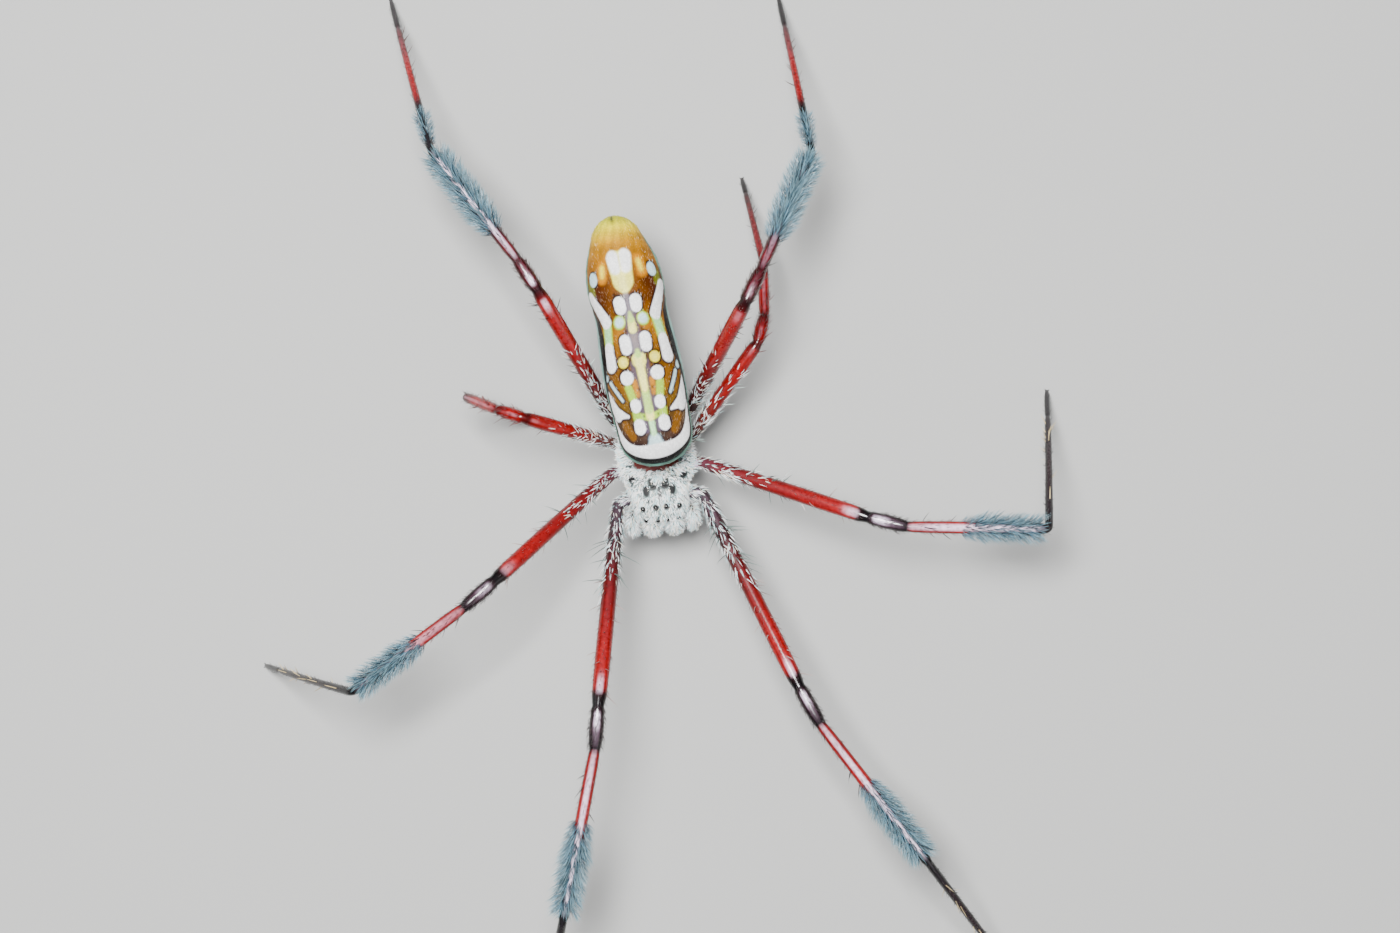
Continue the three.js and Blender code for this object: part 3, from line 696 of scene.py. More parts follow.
def hornPair():
    pieces = []
    for sign in (1, -1):
        rings = [(0, 1), (0.25, 0.82), (0.55, 0.55), (0.82, 0.34), (0.96, 0.16)]
        tall = horns["height"] + horns["sunk"]
        horn = ringedBody("horn", [(a * tall, r * horns["radius"], r * horns["radius"]) for a, r in rings], 12, 2)
        base = [sign * horns["x"], horns["y"], headTop(sign * horns["x"], horns["y"]) - horns["sunk"]]
        movePoints(horn, pointsOf(horn) * [1, 1, 1] + base + pointsOf(horn)[:, 2:3] * [sign * 0.12, 0.1, 0])
        pieces.append(horn)
    piece = joined("headHorns", pieces)
    rise = pointsOf(piece)[:, 2]
    tip = eased(rise.min(), rise.max(), rise)
    paintPoints(piece, blended(np.tile(shade("3A3034"), (len(rise), 1)), shade("141012"), tip))
    return piece


# An eye: a clear dark dome set in a low ring.
eyeLook = {"radius": 0.235, "ring": 0.235, "ringThickness": 0.045, "sunk": 0.04}


def eyePiece(name):
    centre = nodeCentre(name)
    deselectAll()
    bpy.ops.mesh.primitive_uv_sphere_add(segments=28, ring_count=18, radius=eyeLook["radius"])
    lens = bpy.context.object
    bpy.ops.object.mode_set(mode="EDIT")
    bpy.ops.mesh.select_all(action="SELECT")
    bpy.ops.transform.resize(value=(1, 1, 0.92))
    bpy.ops.object.mode_set(mode="OBJECT")
    paintPoints(lens, np.tile(shade("1A0E0C"), (len(lens.data.vertices), 1)))
    deselectAll()
    bpy.ops.mesh.primitive_torus_add(major_radius=eyeLook["ring"], minor_radius=eyeLook["ringThickness"],
                                     major_segments=28, minor_segments=8, location=(0, 0, 0))
    ring = bpy.context.object
    paintPoints(ring, np.tile(shade("241B1C"), (len(ring.data.vertices), 1)))
    piece = joined(name.replace("eye_", "eyeball_"), [lens, ring])
    near = np.linalg.norm(headSurface["points"] - centre, axis=1) < 0.5
    outward = unit(headSurface["normals"][near].mean(axis=0))
    side = unit(np.cross([0, 1, 0], outward))
    frameOf = np.column_stack([side, np.cross(outward, side), outward])
    movePoints(piece, pointsOf(piece) @ frameOf.T + centre - outward * eyeLook["sunk"])
    return piece


# Jaws, fangs and feelers of the spider's left; the right ones are mirrored. A profile row is
# [part of the length, radius].
jaw = {
    "path": [[0.95, -3.3, 9.3], [0.96, -4.05, 8.2], [0.9, -4.0, 6.1]],
    "profile": [[0, 0.6], [0.15, 0.68], [0.4, 0.76], [0.65, 0.76], [0.85, 0.68], [0.96, 0.5], [1, 0.3]],
}
fangShape = {
    "path": [[0.82, -3.95, 6.25], [0.7, -4.1, 5.6], [0.45, -3.95, 5.05], [0.28, -3.72, 4.72]],
    "profile": [[0, 0.3], [0.2, 0.3], [0.45, 0.22], [0.75, 0.13], [0.95, 0.05], [1, 0.02]],
}
palpShape = {
    "path": [[2.0, -2.35, 7.4], [2.62, -3.0, 8.6], [2.7, -3.7, 8.5], [2.62, -4.25, 7.2], [2.25, -4.4, 5.5]],
    "profile": [
        [0, 0.38], [0.14, 0.44], [0.17, 0.36], [0.2, 0.42], [0.34, 0.47], [0.4, 0.44], [0.425, 0.37],
        [0.45, 0.44], [0.53, 0.45], [0.56, 0.36], [0.59, 0.4], [0.68, 0.42], [0.725, 0.34], [0.75, 0.4],
        [0.85, 0.43], [0.95, 0.3], [1, 0.12],
    ],
    "inset": 0.05,
}
pedicelShape = {
    "path": [[0, 4.2, 8.0], [0.03, 5.9, 8.3], [0.12, 7.2, 9.9]],
    "profile": [[0, 0.45], [0.3, 0.42], [0.5, 0.36], [0.7, 0.42], [1, 0.45]],
}
xAxis = [1.0, 0.0, 0.0]


def curved(points, count=24): # a smooth curve through a few points
    points = np.array(points, float)
    sizes = smoothSizes(np.column_stack([np.arange(len(points)), points]))
    return sizes(np.linspace(0, len(points) - 1, count * (len(points) - 1) + 1))


def limbAlong(name, path, profile, sides=16, levels=1, spacing=0.3):
    length = path["along"][-1]
    profile = np.array(profile, float)
    radiusAt = smoothSizes(profile)
    places = np.unique(np.concatenate([profile[:, 0] * length, np.arange(0, length, spacing)]))
    keep = [0] + [i for i in range(1, len(places)) if places[i] - places[i - 1] > 0.04]
    places = places[keep]
    radii = np.maximum(radiusAt(places / length)[:, 0], 0.01)
    radii = np.interp(places / length, profile[:, 0], profile[:, 1]) * 0.5 + radii * 0.5
    capStart = [(-radii[0] * 0.35, radii[0] * 0.6)]
    capEnd = [(places[-1] + radii[-1] * 0.35, radii[-1] * 0.6)]
    rings = [(a, r, r) for a, r in capStart + list(zip(places, radii)) + capEnd]
    return laidAlong(ringedBody(name, rings, sides, levels), path)


def mirroredCopy(piece, name):
    chosen(piece)
    bpy.ops.object.duplicate()
    copy = bpy.context.object
    copy.name = name
    bpy.ops.object.mode_set(mode="EDIT")
    bpy.ops.mesh.select_all(action="SELECT")
    bpy.ops.transform.resize(value=(-1, 1, 1), center_override=(0, 0, 0))
    bpy.ops.mesh.normals_make_consistent(inside=False)
    bpy.ops.object.mode_set(mode="OBJECT")
    return copy


def jawPiece():
    piece = limbAlong("cheliceraSkin_left", framedPath(curved(jaw["path"]), level=xAxis), jaw["profile"], 20, 2)
    z = pointsOf(piece)[:, 2]
    colours = np.tile(shade("1A1012"), (len(z), 1))
    colours = blended(colours, shade("6A6664"), eased(7.4, 8.6, z))
    paintPoints(piece, blended(colours, shade("4A1712"), 1 - eased(6.0, 6.6, z)))
    return piece


def fangPiece():
    piece = limbAlong("fangHook_left", framedPath(curved(fangShape["path"]), level=xAxis), fangShape["profile"],
                      14, 2, spacing=0.15)
    z = pointsOf(piece)[:, 2]
    paintPoints(piece, blended(np.tile(shade("120807"), (len(z), 1)), shade("4A120C"), eased(5.2, 6.2, z)))
    return piece


def palpPiece():
    path = framedPath(curved(palpShape["path"]), level=xAxis)
    profile = [[a, r - palpShape["inset"] * 0.5] for a, r in palpShape["profile"]]
    piece = limbAlong("palpSkin_left", path, profile, 16, 2, spacing=0.2)
    points = pointsOf(piece)
    z, y = points[:, 2], points[:, 1]
    colours = np.tile(shade("8A8682"), (len(z), 1))
    low = (1 - eased(6.2, 7.2, z)) * (1 - eased(-4.1, -3.7, y))
    paintPoints(piece, blended(colours, shade("1C1214"), low))
    return piece


# The mouthparts between the jaws and the breastplate: two rounded lobes and a lip.
mouthLobes = [([0.66, -2.55, 7.35], 0.48, 1.25), ([-0.66, -2.55, 7.35], 0.48, 1.25), ([0, -2.3, 7.15], 0.42, 0.95)]


def mouthPiece():
    pieces = []
    for place, width, tall in mouthLobes:
        rings = [(-0.5, 0.35), (-0.42, 0.72), (-0.2, 0.98), (0.1, 1.0), (0.35, 0.82), (0.47, 0.45)]
        lobe = ringedBody("lobe", [(a * tall, r * width, r * width * 0.85) for a, r in rings], 14, 2)
        movePoints(lobe, pointsOf(lobe) + place)
        pieces.append(lobe)
    piece = joined("mouthparts", pieces)
    points = pointsOf(piece)
    low = 1 - eased(6.7, 7.1, points[:, 2])
    paintPoints(piece, blended(np.tile(shade("2E1E1C"), (len(points), 1)), shade("8A6A3A"), low * 0.8))
    return piece


def pedicelPiece():
    piece = limbAlong("pedicelSkin", framedPath(curved(pedicelShape["path"]), level=xAxis),
                      pedicelShape["profile"], 16, 2)
    points = pointsOf(piece)
    folds = 0.5 + 0.5 * np.sin(points[:, 1] * 14)
    paintPoints(piece, blended(np.tile(shade("4A2018"), (len(points), 1)), shade("8A5A3A"), folds * 0.6))
    return piece


# The spinnerets: six short tapered tubes on a low mound under the rear of the abdomen.
spinning = {
    "at": 17.3,
    "mound": (1.05, 1.1, 0.75),
    "tubes": [(0.52, -0.5, 1.45, 0.38), (0.52, 0.6, 1.15, 0.34), (0.22, 0.1, 0.95, 0.2)],
    "lean": 0.35,
}


def abdomenPlace(s, across, z):
    yaw = math.radians(abdomen["yaw"])
    startX, startY = abdomen["frontEnd"]
    x = startX - s * math.sin(yaw) + across * math.cos(yaw)
    y = startY + s * math.cos(yaw) + across * math.sin(yaw)
    return [x, y, z]


def spinneretPiece():
    _, height, middle = abdomenSizes(spinning["at"])[0]
    base = middle - height
    rings = [(-0.6, 0.75), (-0.3, 0.95), (0, 1), (0.4, 0.9), (0.75, 0.62), (0.95, 0.25)]
    width, long, deep = spinning["mound"]
    mound = ringedBody("mound", [(a * deep, r * width, r * long) for a, r in rings], 20, 2)
    movePoints(mound, pointsOf(mound) * [1, 1, -1] + abdomenPlace(spinning["at"], 0, base))
    chosen(mound)
    bpy.ops.object.mode_set(mode="EDIT")
    bpy.ops.mesh.select_all(action="SELECT")
    bpy.ops.mesh.normals_make_consistent(inside=False)
    bpy.ops.object.mode_set(mode="OBJECT")
    pieces = [mound]
    for across, s, reach, radius in spinning["tubes"]:
        for sign in (1, -1):
            start = abdomenPlace(spinning["at"] + s, sign * across, base)
            end = abdomenPlace(spinning["at"] + s + spinning["lean"], sign * across, base - reach)
            profile = [[0, radius], [0.45, radius * 0.95], [0.5, radius * 0.8], [0.9, radius * 0.68], [1, radius * 0.4]]
            pieces.append(limbAlong("tube", framedPath([start, end], level=xAxis), profile, 12, 1, 0.25))
    piece = joined("spinneretCluster", pieces)
    points = pointsOf(piece)
    tip = 1 - eased(base - 1.4, base - 0.3, points[:, 2])
    paintPoints(piece, blended(np.tile(shade("3A2A22"), (len(points), 1)), shade("A8843E"), tip * 0.7))
    return piece


jaws = {"left": jawPiece()}
fangs = {"left": fangPiece()}
palps = {"left": palpPiece()}
jaws["right"] = mirroredCopy(jaws["left"], "cheliceraSkin_right")
fangs["right"] = mirroredCopy(fangs["left"], "fangHook_right")
palps["right"] = mirroredCopy(palps["left"], "palpSkin_right")
hornsPiece = hornPair()
eyePieces = {name: eyePiece(name) for name in eyeNames}
mouth = mouthPiece()
stalk = pedicelPiece()
spinnerets = spinneretPiece()
print("face, mouth and spinnerets")


# Legs. Joints follow the solids' own lengths and stances: [azimuth, elevation] in degrees.
legSizes = {
    1: {"hip": (3.8, -1.7), "root": (0.6, -0.9), "lengths": (19.6, 3.7, 15.5, 21.6), "girth": 1.0},
    2: {"hip": (3.9, 1.15), "root": (0.6, 0.6), "lengths": (16.5, 3.5, 12.5, 18.4), "girth": 0.97},
    3: {"hip": (3.6, 3.7), "root": (0.6, 1.9), "lengths": (10.2, 2.6, 5.6, 11.1), "girth": 0.88},
    4: {"hip": (3.1, 5.4), "root": (0.4, 3.7), "lengths": (16.0, 3.1, 13.0, 20.8), "girth": 0.96},
}
stances = {
    "leg1_left": ((-70, 15.4), (-67, 6), (-58.7, -1), -60),
    "leg1_right": ((-101.6, 26.6), (-100.8, 2.4), (-107.3, -7), -108),
    "leg2_left": ((-24.8, 19.9), (-20.3, 8), (-7.5, -3.7), 78),
    "leg2_right": ((-143.6, 33.2), (-145.4, 4.3), (-149.7, -8.5), 165),
    "leg3_left": ((48.3, 14.4), (69.6, -14.8), (84.4, -28.5), 96),
    "leg3_right": ((157.5, 38), (156.7, -20), (152, -54), -28),
    "leg4_left": ((55.1, 47), (57.9, -7.3), (60.3, -27), 93),
    "leg4_right": ((113.6, 33.5), (116.9, -1.2), (121.6, -15), 101),
}
legBuild = {"hipHeight": 8.4, "rootHeight": 7.6, "footRise": 0.14, "femurBow": 0.35, "footBow": 0.9, "easing": 0.55}
# Radii by station: 0 to 1 is the coxa and trochanter, 1 to 2 the femur, then patella, tibia and metatarsus.
legProfile = [
    [0, 0.6], [0.3, 0.64], [0.55, 0.67], [0.7, 0.66], [0.76, 0.56], [0.8, 0.55], [0.85, 0.62], [0.94, 0.63],
    [0.99, 0.54], [1.0, 0.53], [1.015, 0.57], [1.06, 0.62], [1.2, 0.66], [1.45, 0.71], [1.75, 0.75], [1.9, 0.73],
    [1.955, 0.7], [1.98, 0.6], [2.0, 0.54], [2.05, 0.6], [2.2, 0.65], [2.5, 0.69], [2.8, 0.64], [2.93, 0.58],
    [3.0, 0.48], [3.02, 0.52], [3.1, 0.58], [3.4, 0.6], [3.8, 0.57], [3.95, 0.52], [3.985, 0.46], [4.0, 0.38],
    [4.015, 0.4], [4.06, 0.41], [4.4, 0.35], [4.7, 0.31], [4.765, 0.3], [4.78, 0.23], [4.79, 0.23], [4.805, 0.28],
    [4.88, 0.28], [4.96, 0.25], [5.0, 0.17],
]
legColours = {
    1: [(0, "4A4347"), (0.55, "6A6068"), (0.9, "7A6E78"), (1.0, "6E5C66"), (1.12, "6E545E"), (1.24, "6A2634"),
        (1.4, "8E0A14"), (1.7, "B4060A"), (1.92, "BC080C"), (1.95, "4A0408"), (1.985, "1C0A10"), (2.06, "44222E"),
        (2.5, "583444"), (2.93, "3A202C"), (2.99, "2A0A10"), (3.03, "A8101A"), (3.4, "BC141C"), (3.5, "7A1420"),
        (3.58, "2A2A36"), (3.95, "14161E"), (4.0, "0E080A"), (4.3, "3A0A10"), (4.75, "2E0A10"), (4.8, "0E0607"),
        (5, "160A0C")],
    3: [(0, "5A5052"), (0.95, "7A686A"), (1.1, "8A5A50"), (1.35, "A83828"), (1.7, "BC1210"), (1.93, "B0100E"),
        (1.97, "7A0A0C"), (2.1, "A81412"), (2.5, "B8161C"), (2.95, "7E0E12"), (3.1, "B8161C"), (3.6, "BC3A40"),
        (3.97, "6A2A30"), (4.1, "A85A5C"), (4.5, "9A585A"), (4.75, "7A4648"), (4.8, "3A2224"), (5, "3A2224")],
    4: [(0, "4A3A3E"), (0.95, "5A3A42"), (1.1, "5A1A22"), (1.3, "860A12"), (1.6, "B4060A"), (1.93, "BC080C"),
        (1.97, "7A0A18"), (2.0, "50081A"), (2.3, "7E1028"), (2.95, "6E1028"), (3.02, "6A1028"), (3.08, "8E1830"),
        (3.2, "7A1A34"), (3.28, "2C2A38"), (3.95, "14161E"), (4.0, "0E0709"), (4.26, "160A0C"), (4.31, "B01018"),
        (4.48, "C2141A"),
        (4.6, "B0585E"), (4.77, "84545A"), (4.8, "3A2E32"), (5, "30262A")],
}
# How dull the cuticle is along a leg, and how strong the painted highlight blended along its upper side.
legDullness = [
    [0, 1.3], [1.3, 1.2], [1.6, 0.95], [1.9, 0.75], [2.0, 0.7], [3.0, 0.65], [3.9, 0.6], [4.0, 0.8], [5, 1.0],
]
legPaintedHighlight = [
    [0, 0.2], [0.8, 0.2], [0.86, 0.9], [0.97, 0.9], [1.0, 0.1], [1.4, 0.08], [1.84, 0.1], [1.9, 0.75], [1.94, 0.7],
    [1.96, 0.05], [2.08, 0.1], [2.18, 0.95], [2.42, 0.9], [2.6, 0.3], [2.98, 0.1], [3.03, 0.6], [3.2, 0.85],
    [3.9, 0.95], [3.98, 0.1], [4.2, 0.1], [5, 0.1],
]
legColours[2] = [
    (0, "4A4347"), (0.55, "6A6068"), (0.9, "7A6670"), (1.0, "865060"), (1.12, "922E40"), (1.3, "A00C18"),
] + [row for row in legColours[1] if row[0] > 1.5]
paintedHighlightFrom = {1: 0.8, 2: 0.62, 3: 0.92, 4: 0.8} # how near the top of the leg the painted highlight keeps
# How much of the painted highlight each leg keeps.
paintedHighlightShare = {"leg2_right": 0.55, "leg3_left": 0.35, "leg3_right": 0.35, "leg4_left": 0.45}
segmentNames = ["coxa", "femur", "patella", "tibia", "metatarsus"]


def direction(azimuth, elevation):
    a, e = math.radians(azimuth), math.radians(elevation)
    return np.array([math.cos(e) * math.cos(a), math.cos(e) * math.sin(a), math.sin(e)])


def legPath(name):
    size, sign = legSizes[int(name[3])], 1 if name.endswith("left") else -1
    joints = [
        np.array([sign * size["root"][0], size["root"][1], legBuild["rootHeight"]]),
        np.array([sign * size["hip"][0], size["hip"][1], legBuild["hipHeight"]]),
    ]
    *bends, footTurn = stances[name]
    for bend, length in zip(bends, size["lengths"]):
        joints.append(joints[-1] + direction(*bend) * length)
    drop = math.degrees(math.asin((joints[4][2] - legBuild["footRise"]) / size["lengths"][3]))
    joints.append(joints[4] + direction(footTurn, -drop) * size["lengths"][3])
    points, stations = [], []
    for i, (start, end) in enumerate(zip(joints, joints[1:])):
        rise = {1: legBuild["femurBow"], 4: legBuild["footBow"]}.get(i, 0)
        lean = unit(end - start)
        lifted = unit(up - lean * (up @ lean)) * rise
        for part in np.linspace(0, 1, 40, endpoint=i == 4):
            points.append(start + (end - start) * part + lifted * 2 * part * (1 - part))
            stations.append(i + part)
    return framedPath(points, stations, easing=legBuild["easing"])


def coloursAlong(table, station):
    codes = np.array([shade(code) for _, code in table])
    return np.column_stack([np.interp(station, [a for a, _ in table], codes[:, i]) for i in range(3)])


legPaths = {name: legPath(name) for name in stances}


def straightLeg(name, path):
    number = int(name[3])
    girth = legSizes[number]["girth"]
    stations = sorted({a for a, _ in legProfile} | set(np.arange(1.1, 5, 0.1).round(2)))
    sizes = np.interp(stations, [a for a, _ in legProfile], [r for _, r in legProfile]) * girth
    places = atStation(path, np.array(stations))
    rings = [(places[0] - 0.2, sizes[0] * 0.6, sizes[0] * 0.6)]
    for place, size in zip(places, sizes):
        if place - rings[-1][0] > 0.05:
            rings.append((place, size, size))
    rings.append((places[-1] + 0.1, sizes[-1] * 0.6, sizes[-1] * 0.6))
    piece = ringedBody(f"{name}_skin", rings, 12, 2)
    points = pointsOf(piece)
    station = np.interp(points[:, 2], path["along"], path["station"])
    colours = coloursAlong(legColours[number], station)
    angle = np.arctan2(points[:, 1], points[:, 0])
    # Painted shade: the underside of each leg is darker by up to 40 %, and fine streaks of the cuticle's own grain run
    # over the rest.
    below = 1 - eased(-0.9, 0.2, np.sin(angle))
    streaks = 0.5 + 0.5 * np.sin(angle * 5 + points[:, 2] * 0.9) * np.sin(points[:, 2] * 2.3)
    colours *= (1 - 0.4 * below - 0.16 * streaks)[:, None]
    # Painted highlight: a pale stripe blended along the top of each leg, strongest at the coxa, the femur's end, the
    # patella and the shin.
    paintedHighlight = np.interp(station, *np.array(legPaintedHighlight).T) * eased(paintedHighlightFrom[number], 0.995, np.sin(angle))
    colours = blended(colours, shade("F6ECF8"), paintedHighlight * paintedHighlightShare.get(name, 1.0))
    laidAlong(piece, path)
    paintPoints(piece, colours, np.interp(station, *np.array(legDullness).T))
    return piece


legPieces = {name: straightLeg(name, path) for name, path in legPaths.items()}
print("legs", sum(len(piece.data.polygons) for piece in legPieces.values()))

finished(headPiece, finishes["headCuticle"], ["cephalothorax"])
finished(hornsPiece, finishes["jawCuticle"])
for name, piece in eyePieces.items():
    finished(piece, finishes["eyeLens"], [name])
for side in ("left", "right"):
    finished(jaws[side], finishes["jawCuticle"], [f"chelicera_{side}"])
    finished(fangs[side], finishes["fangCuticle"], [f"fang_{side}"])
    finished(palps[side], finishes["headCuticle"], [f"palp_{side}"])
finished(mouth, finishes["jawCuticle"], ["maxillae"])
finished(stalk, finishes["jawCuticle"], ["pedicel"])
finished(spinnerets, finishes["jawCuticle"], ["spinnerets"])
for name, piece in legPieces.items():
    finished(piece, finishes["legCuticle"], [f"{name}_{part}" for part in segmentNames])


# Hair. One tuft is modelled once and copied: a circle drawn out along +Z, widest low down, closed at its tip.
def tuftModel(name, sides, levels): # levels are [part of the length, width]
    deselectAll()
    bpy.ops.mesh.primitive_circle_add(vertices=sides, radius=0.5, fill_type="NGON")
    piece = bpy.context.object
    piece.name = name
    bpy.ops.object.mode_set(mode="EDIT")
    bpy.ops.mesh.select_all(action="SELECT")
    bpy.ops.transform.resize(value=(levels[0][1], levels[0][1], 1))
    for (p0, w0), (p1, w1) in zip(levels, levels[1:]):
        bpy.ops.mesh.extrude_region_move(TRANSFORM_OT_translate={"value": (0, 0, p1 - p0)})
        if w1:
            bpy.ops.transform.resize(value=(w1 / w0, w1 / w0, 1))
        else:
            bpy.ops.mesh.merge(type="CENTER")
    bpy.ops.mesh.select_all(action="SELECT")
    bpy.ops.mesh.normals_make_consistent(inside=False)
    bpy.ops.mesh.quads_convert_to_tris()
    bpy.ops.object.mode_set(mode="OBJECT")
    model = {"points": pointsOf(piece), "faces": np.array([list(face.vertices) for face in piece.data.polygons])}
    bpy.data.objects.remove(piece)
    return model


tuftModels = {
    "short": tuftModel("shortHair", 3, [(0, 0.7), (0.4, 1.0), (1, 0)]),
    "tuft": tuftModel("flatTuft", 3, [(0, 0.6), (0.3, 1.0), (0.7, 0.75), (1, 0)]),
    "lock": tuftModel("brushLock", 3, [(0, 0.8), (0.3, 1.0), (0.65, 0.7), (1, 0)]),
    "spine": tuftModel("spine", 6, [(0, 0.55), (0.03, 1.0), (0.3, 0.85), (0.7, 0.5), (1, 0)]),
}
patchSize = 0.003 # each tuft's patch on the unwrap of the skin it grows from


# Copies one model to every root. Look holds the sizes in millimetres and degrees.
def grown(name, model, roots, lies, outs, look, colours, unwrap, scale=None):
    count = len(roots)
    vary = look.get("vary", 0.25)
    size = np.ones(count) if scale is None else scale
    length = look["length"] * random.uniform(1 - vary, 1 + vary, count) * size
    width = look["width"] * random.uniform(1 - vary, 1 + vary, count) * np.sqrt(size)
    liftVary = look.get("liftVary", 0.3)
    lift = np.radians(look["lift"] * random.uniform(1 - liftVary, 1 + liftVary, count))
    lifted = lift * (1 - look.get("curl", 0.5))
    sway = np.radians(random.normal(0, look.get("sway", 15), count))
    lies = unit(lies - outs * (lies * outs).sum(axis=1, keepdims=True))
    across = np.cross(lies, outs)
    lies = lies * np.cos(sway)[:, None] + across * np.sin(sway)[:, None]
    across = np.cross(lies, outs)
    first = lies * np.cos(lift)[:, None] + outs * np.sin(lift)[:, None]
    last = lies * np.cos(lifted)[:, None] + outs * np.sin(lifted)[:, None]
    middle = first * (length / 2)[:, None]
    tip = middle + last * (length / 2)[:, None]
    thin = unit(np.cross(across, tip))
    x, y, part = model["points"].T
    points = roots[:, None, :] - outs[:, None, :] * look.get("sunk", 0.03)
    points = points + middle[:, None, :] * (2 * part * (1 - part))[None, :, None]
    points = points + tip[:, None, :] * (part ** 2)[None, :, None]
    points = points + across[:, None, :] * (x[None, :] * width[:, None])[:, :, None]
    points = points + thin[:, None, :] * (y[None, :] * (width * look.get("flat", 0.5))[:, None])[:, :, None]
    faces = (model["faces"][None] + (np.arange(count) * len(x))[:, None, None]).reshape(-1, 3)
    mesh = bpy.data.meshes.new(name)
    mesh.from_pydata(points.reshape(-1, 3).tolist(), [], faces.tolist())
    piece = bpy.data.objects.new(name, mesh)
    bpy.context.scene.collection.objects.link(piece)
    tone = random.uniform(1 - look.get("tone", 0.15), 1 + look.get("tone", 0.15), count)
    shaded = colours * tone[:, None]
    # Painted shade: each hair is darker towards its root, where the hairs crowd over one another.
    shadedRootTone = look.get("shadedRootTone", 0.75)
    graded = shaded[:, None, :] * (shadedRootTone + (1 - shadedRootTone) * eased(0, 0.6, part))[None, :, None]
    if "tip" in look:
        tipward = (eased(0.35, 1, part) * look["tipShare"])[None, :, None]
        graded = graded + (shade(look["tip"]) - graded) * tipward
    paintPoints(piece, np.clip(graded, 0, 1).reshape(-1, 3))
    placesOf = unwrap[:, None, :] + np.column_stack([x, part - 0.5])[None] * patchSize
    uv = mesh.uv_layers.new(name="OFBake")
    corners = np.clip(placesOf.reshape(-1, 2)[faces.ravel()], 0, 1)
    uv.data.foreach_set("uv", corners.astype(np.float32).ravel())
    return piece


# A mesh's triangles in an order set by their places, because Blender numbers them anew in each run.
def sortedTriangles(piece, points):
    rank = np.empty(len(points), int)
    rank[np.lexsort(np.round(points, 4).T)] = np.arange(len(points))
    triangles = []
    for face in piece.data.polygons:
        corners = list(face.vertices)
        first = int(np.argmin(rank[corners]))
        corners = corners[first:] + corners[:first]
        triangles += [(corners[0], b, c) for b, c in zip(corners[1:], corners[2:])]
    triangles = np.array(triangles)
    return triangles[np.lexsort(rank[triangles].T)]


def scattered(piece, spacing): # roots spread over a mesh by area, with the normals there
    points = pointsOf(piece) / mm - bodyOrigin
    normals = normalsOf(piece)
    corners = sortedTriangles(piece, points)
    a, b, c = points[corners[:, 0]], points[corners[:, 1]], points[corners[:, 2]]
    area = np.linalg.norm(np.cross(b - a, c - a), axis=1) / 2
    count = int(area.sum() / spacing ** 2)
    pick = random.choice(len(corners), count, p=area / area.sum())
    u, v = random.random((2, count))
    u, v = np.where(u + v > 1, 1 - u, u), np.where(u + v > 1, 1 - v, v)
    roots = a[pick] + (b - a)[pick] * u[:, None] + (c - a)[pick] * v[:, None]
    return roots, unit(normals[corners[pick]].mean(axis=1))


def kept(share, *values): # keeps each root with its own chance
    stay = random.random(len(share)) < share
    return [value[stay] for value in values]


def aroundUnwrap(roots, axisPoint, start, end): # angle round the body's long axis, and the way along it
    angle = np.arctan2(roots[:, 0] - axisPoint[0], roots[:, 2] - axisPoint[1])
    place = 0.01 + 0.98 * (roots[:, 1] - start) / (end - start)
    return np.column_stack([0.5 + angle / (2 * math.pi) * 0.98, place])


def grownPiece(piece, material):
    return finished(piece, material, smooth=False)


# The silver coat of the head and thorax: flat tufts lying forward and outward.
headCoat = {"length": 0.56, "width": 0.12, "lift": 25, "curl": 0.5, "sway": 24, "flat": 0.4, "vary": 0.35,
            "tone": 0.1, "shadedRootTone": 0.85, "sunk": 0.04}
headUndercoat = {"length": 0.32, "width": 0.1, "lift": 14, "curl": 0.6, "sway": 30, "flat": 0.4, "vary": 0.3,
                 "tone": 0.1, "shadedRootTone": 0.9, "sunk": 0.03}
silver = {"main": shade("FFFFFF"), "cool": shade("DCEEF0"), "warm": shade("F6F2E8"), "dark": shade("5F6F72")}


def silverTones(count, darkShare=0.03):
    pick = random.random(count)
    colours = np.tile(silver["main"], (count, 1))
    colours[pick < 0.3] = silver["cool"]
    colours[(pick > 0.3) & (pick < 0.42)] = silver["warm"]
    colours[pick > 1 - darkShare] = silver["dark"]
    return colours


def headLie(roots):
    x, y, z = roots.T
    forward = np.column_stack([x * 0.28, -np.ones_like(x), -0.3 * (y < -3.2)])
    spread = np.column_stack([x, (y - 2.2) * 0.9, np.full_like(x, -0.25)])
    return unit(forward) * eased(1.6, -0.4, y)[:, None] + unit(spread) * eased(-0.4, 1.6, y)[:, None]


def eyeRoom(roots): # 0 over the eyes, so that they stay clear
    room = np.ones(len(roots))
    for name in eyeNames:
        room = np.minimum(room, eased(0.27, 0.36, np.linalg.norm(roots - nodeCentre(name), axis=1)))
    return room


def nearBare(x, y): # hair round a bare place is shorter, so that the place shows
    most = np.zeros_like(x)
    for (bx, by), across, lengthwise, dark in bare:
        away = np.hypot((np.abs(x) - bx) / (across + 0.3), (y - by) / (lengthwise + 0.35))
        most = np.maximum(most, dark * (1 - eased(0.8, 1.1, away)))
    return most


